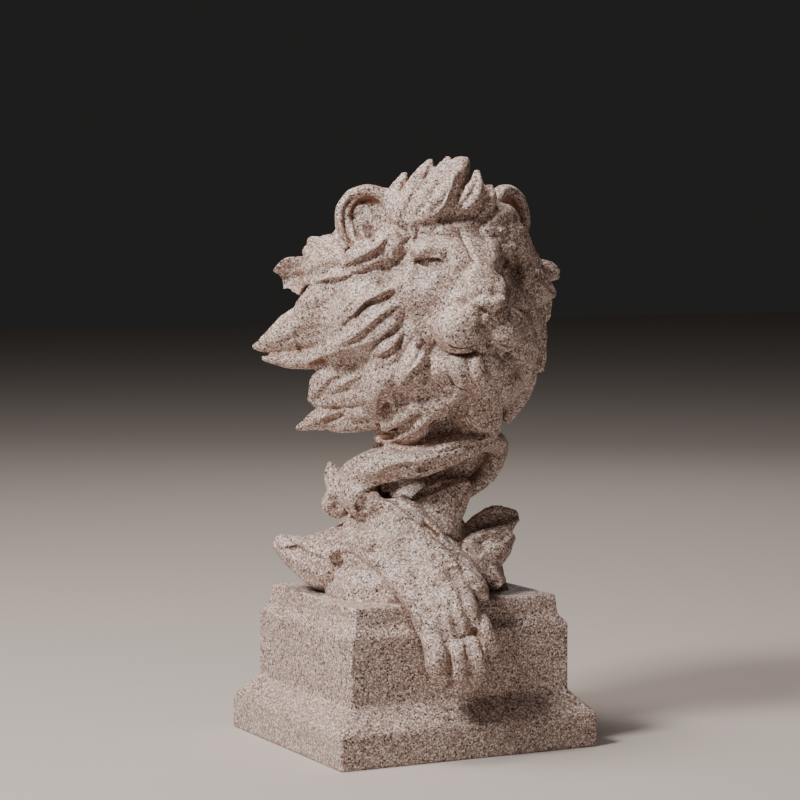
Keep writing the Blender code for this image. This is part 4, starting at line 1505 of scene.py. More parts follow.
# The folds that the three-quarter view shows, from the throat down to the slab
SEEN_FOLDS = (
    Tuft(
        "band",
        (
            (340, 487, 12), (360, 474, 20), (390, 463, 27), (420, 460, 29),
            (452, 450, 27), (480, 440, 18), (498, 442, 4),
        ),
        (5, 8, 8, 7.4, 6.4, 6, 5), (5, 7, 8, 8, 7, 6, 5), count=48,
    ),
    Tuft(
        "collar spike",
        ((348, 492, 14), (338, 484, 12), (332, 472, 10), (329, 462, 8)),
        (6, 6, 4, 0.9), (5, 5, 3, 1),
    ),
    Tuft(
        "collar lobe",
        ((352, 492, 16), (336, 498, 14), (330, 506, 12), (338, 512, 13), (346, 508, 15)),
        (6, 5, 3.6, 3.2, 2.4), (6, 5, 3.6, 3, 2.4), section=Section.ROUND,
    ),
    Tuft(
        "collar knot",
        ((348, 492, 18), (360, 498, 22), (374, 506, 23), (388, 520, 23)),
        (6, 8, 8, 6), (6, 8, 8, 6), section=Section.ROUND,
    ),
    Tuft(
        "right loop",
        ((498, 440, 4), (496, 456, 4), (488, 472, 6), (474, 486, 9), (458, 500, 12)),
        (5, 4.6, 4.4, 4, 2), (5, 5, 4.6, 4, 2), count=34,
    ),
    Tuft(
        "shawl",
        ((470, 481, 17), (452, 496, 17), (436, 512, 17), (434, 534, 18)),
        (3, 9, 12, 11), (3, 6, 7, 7), section=Section.ROUND,
    ),
    Tuft(
        "waist",
        ((430, 510, 8), (434, 530, 10), (442, 552, 12)),
        (11, 12, 13), (9, 10, 12), section=Section.ROUND,
    ),
    Tuft(
        "sleeve",
        ((372, 502, 20), (392, 522, 25), (414, 552, 31), (436, 586, 42)),
        (10, 13, 15, 14), (7, 8, 9, 9), section=Section.ROUND,
    ),
    Tuft(
        "leaf wall",
        ((456, 543, 12), (473, 529, 8), (490, 520, 4), (504, 517, 2), (518, 513, 1)),
        (3, 4.6, 6, 5.6, 2), (4, 4, 3.4, 3, 1.4),
    ),
    Tuft(
        "leaf front",
        ((456, 546, 17), (477, 537, 15), (491, 534, 12), (506, 529, 8), (519, 518, 3)),
        (2.6, 3, 3, 2.6, 1), (2.6, 3, 3, 2.6, 1), section=Section.ROUND,
    ),
    Tuft(
        "leaf body",
        ((509, 534, 7), (500, 546, 11), (490, 556, 15), (478, 562, 19)),
        (3.4, 5.6, 6.4, 5), (4, 6, 7, 6), section=Section.ROUND,
    ),
    Tuft(
        "leaf foot",
        ((464, 546, 20), (478, 560, 20), (490, 573, 20), (500, 585, 19)),
        (4.5, 5.6, 5, 3.6), (5, 6, 5, 4), section=Section.ROUND,
    ),
    Tuft(
        "strip",
        ((446, 552, 34), (458, 566, 38), (470, 580, 42), (481, 590, 44)),
        (4, 4.6, 5.2, 4.2), (4, 4, 4, 3),
    ),
)

# The rims of the folds: each fold lies on the right of its run
FOLD_LEDGES = (
    Ledge("throat ridge", ((498, 404), (482, 407), (464, 409)), 1.0, 1.4, 4, 4),
    Ledge("throat fold", ((496, 427), (478, 430), (460, 431)), 1.2, 2.0, 4, 4),
    Ledge("lower throat fold", ((498, 438), (478, 441), (458, 446)), 1.2, 2.6, 4, 4),
    Ledge(
        "band top",
        ((380, 450), (398, 452), (420, 451), (444, 444), (466, 437)),
        0.8, 1.6, 4, 4, 0.4,
    ),
    Ledge(
        "band groove",
        ((448, 455), (424, 461), (404, 463), (388, 467), (372, 477)),
        1.4, 2.4, 3, 3, 0.6,
    ),
    Ledge(
        "second band groove",
        ((462, 443), (446, 449), (430, 452), (410, 455)),
        1.0, 1.8, 3, 3, 0.5,
    ),
    Ledge("knotted fold", ((494, 437), (484, 441), (472, 444), (464, 452)), 1.4, 2.4, 3, 3, 0.4),
    Ledge(
        "second knotted fold",
        ((497, 448), (488, 450), (478, 456), (470, 464)),
        1.2, 2.4, 3, 4, 0.4,
    ),
    Ledge(
        "band rim",
        ((474, 448), (458, 459), (441, 470), (418, 474), (398, 479), (378, 484), (362, 492)),
        1.8, 7.0, 3.5, 9, 1.2,
    ),
    Ledge(
        "shawl top",
        ((402, 509), (420, 499), (440, 490), (456, 484), (472, 478)),
        0.8, 3.6, 4, 7, 0.6,
    ),
    Ledge("shawl side", ((472, 479), (462, 491), (456, 503), (455, 514)), 0.4, 1.6, 3, 4, 0.2),
    Ledge(
        "sleeve rim",
        ((376, 496), (392, 503), (412, 520), (436, 540), (458, 560), (478, 577), (496, 593)),
        1.4, 3.6, 6, 5, 0.6,
    ),
    Ledge("spike rim", ((331, 468), (337, 482), (340, 496)), 0.8, 2.2, 3, 3.5, 0.2),
    Ledge("knot rim", ((352, 502), (358, 510), (356, 522)), 1.0, 1.6, 4, 6, 0.2),
    Ledge("horn rim", ((318, 556), (304, 548), (292, 545), (282, 549)), 1.0, 2.6, 4, 5, 0.4),
    Ledge(
        "oval upper rim",
        ((362, 558), (350, 551), (338, 550), (328, 557)),
        1.2, 2.0, 3.5, 4, 0.3,
    ),
    Ledge("mound ridge", ((352, 532), (330, 540), (312, 548)), 1.0, 1.2, 4, 5, 0.2),
    Ledge(
        "leaf rim",
        ((459, 542), (477, 534), (491, 531), (506, 527), (518, 517)),
        0.8, 3.0, 2.5, 6, 0.3,
    ),
    Ledge("second leaf", ((478, 556), (490, 548), (502, 543), (512, 536)), 1.0, 2.6, 3, 5, 0.3),
    Ledge("strip rim", ((448, 549), (462, 562), (476, 575), (487, 586)), 0.6, 2.0, 4, 3, 0.3),
)


@dataclass(frozen=True)
class Drape:
    """The neck, and the cloth-like folds that wind round it and spread over the plinth."""

    top: float
    seat: float = 3.0
    pleats: tuple[Pair, ...] = ((-27, 28), (-9, 34), (11, 34), (28, 26), (36, 9))

    def _fold(
        self,
        clay: Clay,
        points: Sequence[Point],
        widths: Sequence[float],
        depths: Sequence[float],
        facing: Sequence,
        section: Section = Section.ROUND,
    ) -> None:
        """Adds a form through points drawn above the plinth, as Clay.limb does."""
        raised = [(x, y, z + self.top) for x, y, z in points]
        clay.limb(raised, widths, depths, facing, section)

    def build(self, clay: Clay) -> None:
        """Adds neck, collar, folds, mound and leaf.

        Args:
            clay: What it is added to.
        """
        self._neck(clay)
        self._collar(clay)
        self._mound(clay)
        self._leaf(clay)
        for tuft in SEEN_FOLDS:
            tuft.build(clay)

    def _neck(self, clay: Clay) -> None:
        """Adds the neck and the strands of mane that fall down its back.

        Args:
            clay: What it is added to.
        """
        rings = [(9, -5, 92), (11.5, -5.5, 66), (6.5, -1, 50)]
        rings += [(-1, 3, 37), (-5, 2, 25), (-4, 2, -self.seat)]
        half = [26, 22, 17, 14, 22, 36]
        self._fold(clay, rings, half, [25, 19, 13, 11, 17, 32], (-0.45, -0.9, 0))
        nape = [(10, 16, 92), (9, 18, 68), (3, 16, 46), (-4, 16, 22), (-6, 20, -self.seat)]
        self._fold(clay, nape, [20, 17, 15, 20, 26], [14, 11, 9, 10, 16], (0, -1, 0))
        for x, lean, low in ((4, -2, 50), (12, 0, 40), (20, 3, 46), (28, 4, 56)):
            strand = [(x, 26, 94), (x + 2, 30, 76)]
            strand += [(x + lean, 27, (76 + low) / 2), (x + lean, 25, low)]
            self._fold(clay, strand, [8, 9, 7, 1], [5, 6, 4, 1], (0, 1, 0), Section.BLADE)

    def _collar(self, clay: Clay) -> None:
        """Adds the part of the band that runs round behind the neck.

        Args:
            clay: What it is added to.
        """
        band = [(23, -16, 62), (31, -6, 65), (32, 10, 67), (22, 24, 64)]
        band += [(6, 26, 58), (-4, 20, 50), (-12, 12, 44), (-20, 6, 42)]
        half = [6, 8, 9, 9, 8, 7, 6, 5]
        count = 52
        path = smooth_path([(x, y, z + self.top) for x, y, z in band], count)
        facing = unit_rows((path - np.array((0, 4, 0))) * np.array((1.0, 1.0, 0.0)))
        widths, depths = spread(half, count), spread([5, 7, 7, 7, 7, 7, 6, 4], count)
        clay.sweep(path, widths, depths, facing, Section.RIBBED)
        flare = [(2, 4, 50), (-11, 5, 46), (-25, 11, 42)]
        self._fold(clay, flare, [9, 8, 5], [9, 8, 5], (-0.9, -0.4, 0.4))

    def _mound(self, clay: Clay) -> None:
        """Adds the mound that the folds make on the slab, with its horn and back pleats.

        Args:
            clay: What it is added to.
        """
        ridge = [(-6, 0, 14), (-20, 4, 14), (-34, 12, 13), (-44, 22, 16), (-51, 29, 20.5)]
        self._fold(clay, ridge, [28, 24, 16, 9, 3.5], [20, 18, 14, 7.5, 3.5], (0, 0, 1))
        clay.ball(Vector((-17, -9, self.top - 2)), (25, 28, 22))
        clay.ball(Vector((2, 12, self.top - 2)), (37, 28, 27))
        for x, y in self.pleats:
            pleat = [(x * 0.45, y * 0.45 + 6, 42), (x * 0.7, y * 0.72 + 3, 24)]
            pleat += [(x * 0.92, y * 0.92, 9), (x, y, -self.seat)]
            self._fold(clay, pleat, [7, 11, 12, 10], [4, 5, 4.5, 3], (x, y, 40), Section.BLADE)

    def _leaf(self, clay: Clay) -> None:
        """Adds the mass behind the leaf-like fold on the lion's left, down to the slab."""
        mass = [(22, -8, 22), (27, -12, 12), (29, -16, -self.seat)]
        self._fold(clay, mass, [7, 9, 10], [6, 8, 9], (0.3, -0.9, 0))


# The paw, drawn on the sheet: the back of the hand, four toes and the claw
PAW = (
    Tuft(
        "hand",
        ((430, 574, 38), (435, 588, 42.5), (441, 604, 48), (448, 620, 52.0), (455, 637, 53)),
        (12, 13.5, 14, 14, 12.5), (8, 8.4, 8, 7.2, 5.8), section=Section.ROUND,
    ),
    Tuft(
        "first toe",
        ((429, 630, 52), (434, 643, 57.5), (437.5, 657, 60), (438.5, 670, 59.5), (442, 681, 56)),
        (4.4, 5.2, 5.3, 4.9, 3.0), (4.4, 5.2, 5.3, 4.9, 3.0), section=Section.ROUND,
    ),
    Tuft(
        "second toe",
        (
            (454, 636, 53), (457.5, 649, 58.2), (459, 660, 59.6),
            (459.5, 674, 58.8), (458.5, 689, 56),
        ),
        (3.0, 3.8, 3.8, 3.5, 2.4), (3.0, 3.9, 4.0, 3.6, 2.4), section=Section.ROUND,
    ),
    Tuft(
        "third toe",
        ((467, 634, 51), (472, 645, 55.4), (476.5, 655, 56.7), (478, 666, 55.8), (475, 678, 53)),
        (3.6, 4.3, 4.5, 4.2, 3.0), (3.6, 4.3, 4.5, 4.2, 3.0), section=Section.ROUND,
    ),
    Tuft(
        "fourth toe",
        ((480, 617, 49), (484.5, 629, 52.6), (489, 641, 53), (492.5, 654, 50)),
        (3.0, 3.8, 3.9, 2.8), (3.0, 3.8, 3.9, 2.8), section=Section.ROUND,
    ),
    Tuft(
        "claw",
        ((449, 684, 58), (456, 693, 58), (461.5, 702, 56)),
        (3.4, 2.0, 0.5), (1.6, 1.3, 0.5), section=Section.ROUND,
    ),
    Tuft(
        "pad",
        ((446, 670, 52.5), (460, 678, 53), (473, 676, 50)),
        (6, 6.5, 6), (4, 4.5, 4), section=Section.ROUND,
    ),
)


@dataclass(frozen=True)
class Foreleg:
    """The foreleg that reaches from the folds and hangs over the plinth's front edge."""

    top: float
    edge: float

    def _at(self, x: float, ahead: float, z: float) -> Point:
        """A point ahead of the slab's front edge and above its top."""
        return (x, self.edge - ahead, self.top + z)

    def build(self, clay: Clay) -> None:
        """Adds the arm, the paw and the strip of cloth beside the arm.

        Args:
            clay: What it is added to.
        """
        arm = [(-24, 0, self.top + 27), (-19, -15, self.top + 24), self._at(-14, -11.8, 13)]
        arm += [self._at(-11.5, 2.2, 1), self._at(-9, 9.6, -8), self._at(-7.5, 11.0, -17)]
        over = ((-0.1, -0.3, 1), (0, -1, 0.1))
        clay.limb(arm, [13, 16, 16, 13.5, 13, 10], [9, 10, 9, 8, 6, 4], over, count=40)
        for tuft in PAW:
            tuft.build(clay)
        strip = [(-12, -14, self.top + 34), (-4, -28, self.top + 26), self._at(3, -4.8, 17)]
        strip += [self._at(7, 4.6, 7), self._at(7.5, 7.6, 0.5)]
        clay.limb(strip, [5, 6, 6, 5.6, 3.6], [4, 4, 4, 3.5, 3.0], (0.5, -0.6, 0.7), Section.LEAF)


# Grooves, pits and ridges drawn on the sheet
CUTS = (
    Cut("strand", ((411, 222), (414, 234), (408, 246), (399, 257)), 1.9, 1.5, 0.3),
    Cut("beside the strand", ((418, 230), (414, 242), (406, 252)), 1.8, -1.0, 0.1),
    Cut("under the crest", ((446, 218), (462, 216), (478, 217)), 4.0, -1.8),
    Cut("hairline", ((418, 234.5), (432, 231.5), (446, 230), (460, 229.5), (474, 231.5)), 4.4, 1.0),
    Cut("forehead line", ((460, 231), (463, 237), (467, 244), (474, 260)), 1.9, -2.0),
    Cut("face rim", ((399, 242), (392, 252), (391, 263), (397, 275)), 1.8, 1.2, 0.3),
    Cut("beside the face rim", ((402, 252), (398, 262), (402, 273)), 2.0, -1.2, 0.1),
    Cut("ear fur", ((354, 240), (351, 222), (356, 209), (366, 206), (373, 216)), 2.2, 1.6, 0.3),
    Cut("ear hollow", ((369, 226), (371, 238)), 3.2, -3.0),
    Cut("ear groove", ((351, 246), (346, 230), (346, 210), (352, 200)), 2.4, -2.4, 0.1),
    Cut("shell scoop", ((326, 296), (316, 312), (312, 334)), 10.0, -4.6),
    Cut("shell furrow", ((350, 318), (334, 332), (322, 344)), 2.6, -1.4, 0.1),
    Cut("mane shadow", ((346, 360), (362, 360), (378, 368)), 5.0, -1.8),
    Cut("blunt tip hollow", ((285, 279), (293, 278), (300, 278)), 5.0, -1.6),
    Cut("beside the blunt tip", ((309, 271), (303, 284), (297, 298)), 2.2, 1.0, 0.2),
    Cut("long tip flute", ((300, 334), (282, 342)), 2.6, -1.0),
    Cut("spike hollow", ((342, 416), (324, 422)), 2.6, -1.8, 0.1),
    Cut("fall shadow", ((400, 397), (418, 396), (436, 396), (448, 399)), 5.0, -2.0),
    Cut("fall curl", ((395, 386),), 2.0, -1.8),
    Cut("crescent hollow", ((384, 437), (397, 432), (410, 424), (419, 417)), 3.0, -3.6),
    Cut("crescent upper rim", ((377, 432), (391, 425), (404, 418)), 2.2, 1.2, 0.2),
    Cut("crescent lower rim", ((378, 441), (396, 444), (412, 437), (424, 427)), 2.4, 1.2, 0.2),
    Cut("throat shadow", ((434, 428), (446, 416), (458, 410)), 6.0, -3.0),
    Cut("beard parting", ((452, 362), (454, 373), (458, 384)), 1.6, -1.0),
    Cut("second beard parting", ((468, 362), (471, 375), (475, 386)), 1.6, -1.2),
    Cut("third beard parting", ((485, 360), (487, 371), (487, 382)), 1.6, -1.0),
    Cut("first cheek strand", ((412, 338), (405, 351), (397, 363)), 2.2, -1.0),
    Cut("second cheek strand", ((424, 343), (417, 357), (409, 369)), 2.2, -1.0),
    Cut("third cheek strand", ((434, 350), (428, 362), (421, 373)), 2.2, -1.0),
    Cut("first crest strand", ((417, 214), (430, 197), (440, 180), (447, 166)), 2.6, -1.4),
    Cut("second crest strand", ((432, 213), (444, 199), (452, 184)), 2.4, -1.2),
    Cut("third crest strand", ((407, 208), (414, 192), (420, 178)), 2.4, -1.2),
    Cut("fourth crest strand", ((397, 208), (401, 193), (405, 180)), 2.2, -0.9),
    Cut("fifth crest strand", ((458, 197), (465, 184), (468, 172)), 2.2, -1.0),
    Cut("band hollow", ((388, 491), (410, 486), (436, 480), (460, 470)), 6.0, -4.0),
    Cut("nick", ((419, 471), (427, 467)), 2.0, -2.4),
    Cut("knot pit", ((361, 508), (365, 501)), 3.4, -2.8),
    Cut("knot scoop", ((364, 520), (374, 514)), 6.0, -2.2),
    Cut("lobe pit", ((334, 500), (336, 507)), 3.4, -2.0),
    Cut("waist shadow", ((424, 526), (436, 536)), 3.0, -2.4),
    Cut("horn hollow", ((289, 547), (296, 550), (302, 554)), 4.2, -1.8),
    Cut("horn rim", ((280, 541), (292, 539), (302, 543)), 2.6, 1.4, 0.2),
    Cut("oval pit", ((336.5, 558), (337.5, 566)), 3.6, -4.6),
    Cut("oval brow", ((328, 560), (336, 552), (347, 552), (354, 560)), 2.4, 1.6, 0.2),
    Cut("oval lower rim", ((328, 572), (338, 577), (352, 575)), 2.2, 0.9, 0.2),
    Cut("mound dimple", ((352, 562), (356, 568)), 3.6, -1.4),
    Cut("second mound dimple", ((306, 560), (312, 566)), 3.2, -1.6),
    Cut("third mound dimple", ((376, 552), (380, 560)), 4.0, -1.2),
    Cut("leaf scoop", ((476, 526), (490, 519), (504, 516)), 5.0, -1.6),
    Cut("foot fold", ((466, 548), (478, 562), (487, 580)), 2.0, -1.8, 0.2),
    Cut("second foot fold", ((484, 560), (492, 570), (500, 584)), 1.8, -1.4, 0.2),
    Cut("arm hollow", ((448, 566), (457, 582), (467, 598)), 3.6, -1.2),
    Cut("arm swell", ((434, 579), (446, 574), (456, 571)), 4.5, 1.0),
    Cut("first arm dent", ((404, 548), (412, 556)), 8.0, -1.5),
    Cut("first arm swell", ((424, 562), (436, 574)), 6.0, 1.2),
    Cut("second arm dent", ((414, 582), (424, 592)), 6.0, -1.2),
    Cut("second arm swell", ((404, 574), (410, 592)), 5.0, 0.9),
    Cut("wrist hollow", ((424, 600), (432, 612)), 4.0, -0.8),
    Cut("first sinew groove", ((439, 608), (441, 624), (446, 643)), 2.6, -1.1),
    Cut("second sinew groove", ((450, 604), (454, 620), (461, 643)), 2.4, -1.1),
    Cut("third sinew groove", ((462, 594), (468, 613), (476, 634)), 2.6, -1.3),
    Cut("second sinew", ((446, 598), (448, 616), (452, 634)), 2.4, 0.6, 0.1),
    Cut("third sinew", ((456, 596), (461, 616), (467, 636)), 2.4, 0.7, 0.1),
    Cut("fourth sinew", ((467, 598), (473, 612), (480, 626)), 2.4, 0.8, 0.1),
    Cut("between the toes", ((449, 648), (449.8, 662), (449.5, 674)), 2.2, -1.2),
    Cut("between the middle toes", ((466, 647), (468, 661), (467.5, 673)), 2.2, -1.4),
    Cut("between the outer toes", ((480, 636), (484, 650), (487, 660)), 2.0, -1.6),
)

# Bubbles of the casting, as (across, down, radius)
BUBBLES = (
    (348, 585.5, 1.4),
    (330, 583.6, 1.1),
    (363, 587.0, 0.9),
    (543, 617.0, 0.9),
    (552, 616.0, 0.8),
    (298, 586.0, 0.8),
)
BUBBLE_DEPTH = 1.6  # times the radius


class Value:
    """A socket that takes part in arithmetic, which adds Math nodes to its tree."""

    def __init__(self, tree: "ShaderTree", socket: bpy.types.NodeSocket) -> None:
        """Wraps the socket of a node in the tree."""
        self.tree = tree
        self.socket = socket

    def _math(self, operation: str, first: object, second: object) -> "Value":
        """A Math node on two numbers or values."""
        return self.tree.add("ShaderNodeMath", {"operation": operation}, {0: first, 1: second})[0]

    def __add__(self, other: object) -> "Value":
        """Self plus other."""
        return self._math("ADD", self, other)

    def __radd__(self, other: object) -> "Value":
        """Other plus self."""
        return self._math("ADD", other, self)

    def __mul__(self, other: object) -> "Value":
        """Self times other."""
        return self._math("MULTIPLY", self, other)

    def __rmul__(self, other: object) -> "Value":
        """Other times self."""
        return self._math("MULTIPLY", other, self)

    def step(self, low: float, high: float) -> "Value":
        """Rises smoothly from 0 at low to 1 at high.

        Args:
            low: Where it is 0.
            high: Where it is 1, which may be below low.

        Returns:
            The risen value.
        """
        settings = {"interpolation_type": "SMOOTHSTEP"}
        inputs = {"Value": self, "From Min": low, "From Max": high}
        return self.tree.add("ShaderNodeMapRange", settings, inputs)[0]


class ShaderTree:
    """The node tree of one material."""

    def __init__(self, name: str) -> None:
        """Makes a material with a plain Principled shader.

        Args:
            name: The material's name.
        """
        self.material = bpy.data.materials.new(name)
        self.material.use_nodes = True
        self.tree = self.material.node_tree
        self.shader = self.tree.nodes["Principled BSDF"]

    def add(self, kind: str, settings: dict, inputs: dict) -> list[Value]:
        """Adds a node.

        Args:
            kind: The node's type.
            settings: Its settings, by name, which are made first.
            inputs: Numbers, colours or values for its sockets, by name or place.

        Returns:
            Its output sockets.
        """
        node = self.tree.nodes.new(kind)
        for name, setting in settings.items():
            setattr(node, name, setting)
        for name, given in inputs.items():
            self.plug(node.inputs[name], given)
        return [Value(self, out) for out in node.outputs if out.enabled]

    def plug(self, socket: bpy.types.NodeSocket, given: object) -> None:
        """Links a value to a socket, or sets the socket's own number or colour.

        Args:
            socket: The socket.
            given: A value, a number or a colour.
        """
        if isinstance(given, Value):
            self.tree.links.new(given.socket, socket)
        elif isinstance(given, tuple) and len(given) == 3 and socket.type == "RGBA":
            socket.default_value = (*given, 1.0)
        else:
            socket.default_value = given

    def mix(self, share: object, first: object, second: object) -> Value:
        """A colour between two, by share."""
        inputs = {0: share, 6: first, 7: second}
        return self.add("ShaderNodeMix", {"data_type": "RGBA"}, inputs)[0]


@dataclass(frozen=True)
class SpeckledStone:
    """Warm greige casting resin filled with sand: dark and pale grains, and a faint sheen.

    Grain, speck, patch and pit are millimetres wide. Each pair gives the values between which a
    colour or its rim comes in, and a share is the most that the colour covers. Shade is painted
    darker into the hollows, and an orange glow is painted where thin rims overhang them, standing
    in for light shining through the clear resin and for warm shade under the rims.
    """

    ground: Point = (0.47, 0.335, 0.285)
    rosy: Point = (0.44, 0.29, 0.235)
    pale: Point = (0.93, 0.80, 0.73)
    brown: Point = (0.13, 0.08, 0.06)
    black: Point = (0.03, 0.02, 0.016)
    # orange-brown painted glow: light through thin clear-resin rims and warm shade under them
    painted_resin_glow: Point = (0.30, 0.125, 0.05)
    # dark brown painted shade for hollows and creases
    painted_shade: Point = (0.10, 0.06, 0.043)
    grain: float = 0.54
    speck: float = 0.96
    patch: float = 12.0
    pit: float = 1.6
    rosy_from: Pair = (0.35, 0.7)
    pale_from: Pair = (0.75, 0.79)
    pale_share: float = 0.9
    brown_from: Pair = (0.25, 0.21)
    brown_share: float = 0.8
    black_from: Pair = (0.85, 0.86)
    black_rim: Pair = (0.54, 0.42)
    black_share: float = 0.95
    bright_from: Pair = (0.11, 0.10)
    bright_rim: Pair = (0.45, 0.34)
    bright_share: float = 0.9
    # where the painted glow comes in, by how enclosed and how thin the stone is
    painted_glow_from: Pair = (0.16, 0.42)
    painted_glow_thin: Pair = (0.0, 0.40)
    painted_glow_share: float = 0.85
    # where the painted shade comes in, by how enclosed the stone is
    painted_shade_from: Pair = (0.34, 0.72)
    painted_shade_share: float = 0.8
    roughness: Point = (0.28, 0.26, 0.14)
    relief: Point = (0.6, 0.9, 0.5)
    relief_strength: float = 0.5
    relief_height: float = 0.00025
    sheen: float = 0.5

    def material(self) -> bpy.types.Material:
        """Builds the stone's material.

        Returns:
            The material.
        """
        tree = ShaderTree("speckled_stone")
        place = tree.add("ShaderNodeNewGeometry", {}, {})[0]
        hollow = tree.add("ShaderNodeAttribute", {"attribute_name": "hollow"}, {})[2]
        thin = tree.add("ShaderNodeAttribute", {"attribute_name": "thin"}, {})[2]
        patches = self._noise(tree, place, self.patch, 3.0)
        colour = tree.mix(patches.step(*self.rosy_from), self.ground, self.rosy)
        cells, edge = self._cells(tree, place, self.grain)
        colour = tree.mix(cells.step(*self.pale_from) * self.pale_share, colour, self.pale)
        colour = tree.mix(cells.step(*self.brown_from) * self.brown_share, colour, self.brown)
        specks, near = self._cells(tree, place, self.speck)
        dark = specks.step(*self.black_from) * near.step(*self.black_rim)
        colour = tree.mix(dark * self.black_share, colour, self.black)
        bright = specks.step(*self.bright_from) * near.step(*self.bright_rim)
        colour = tree.mix(bright * self.bright_share, colour, self.pale)
        # Painted glow: orange-brown where thin rims sit over hollows, for light through the resin
        # and shade beneath
        painted_glow_mask = hollow.step(*self.painted_glow_from) * thin.step(*self.painted_glow_thin)
        colour = tree.mix(painted_glow_mask * self.painted_glow_share, colour, self.painted_resin_glow)
        # Painted shade: darker where the stone is enclosed, where shade falls in hollows and
        # creases
        painted_shade_mask = hollow.step(*self.painted_shade_from) * self.painted_shade_share
        colour = tree.mix(painted_shade_mask, colour, self.painted_shade)
        tree.plug(tree.shader.inputs["Base Color"], colour)
        least, patchy, grainy = self.roughness
        tree.plug(tree.shader.inputs["Roughness"], least + patchy * patches + grainy * cells)
        grains, rims, pits = self.relief
        relief = grains * cells + rims * edge + pits * self._noise(tree, place, self.pit, 2.0)
        inputs = {
            "Strength": self.relief_strength,
            "Distance": self.relief_height,
            "Height": relief,
        }
        bump = tree.add("ShaderNodeBump", {}, inputs)[0]
        tree.plug(tree.shader.inputs["Normal"], bump)
        tree.shader.inputs["Specular IOR Level"].default_value = self.sheen
        return tree.material

    @staticmethod
    def _noise(tree: ShaderTree, place: Value, size: float, detail: float) -> Value:
        """Soft noise whose swells are size millimetres wide."""
        inputs = {"Vector": place, "Scale": 1 / (size * MM), "Detail": detail}
        return tree.add("ShaderNodeTexNoise", {}, inputs)[0]

    @staticmethod
    def _cells(tree: ShaderTree, place: Value, size: float) -> tuple[Value, Value]:
        """Grains, with a chance value for each and the distance from its middle.

        Args:
            tree: The material's tree.
            place: Where the grains lie.
            size: How wide one grain is, in millimetres.

        Returns:
            The chance value and the distance.
        """
        inputs = {"Vector": place, "Scale": 1 / (size * MM)}
        outs = tree.add("ShaderNodeTexVoronoi", {}, inputs)
        chance = tree.add("ShaderNodeSeparateColor", {}, {0: outs[1]})[0]
        return chance, outs[0]


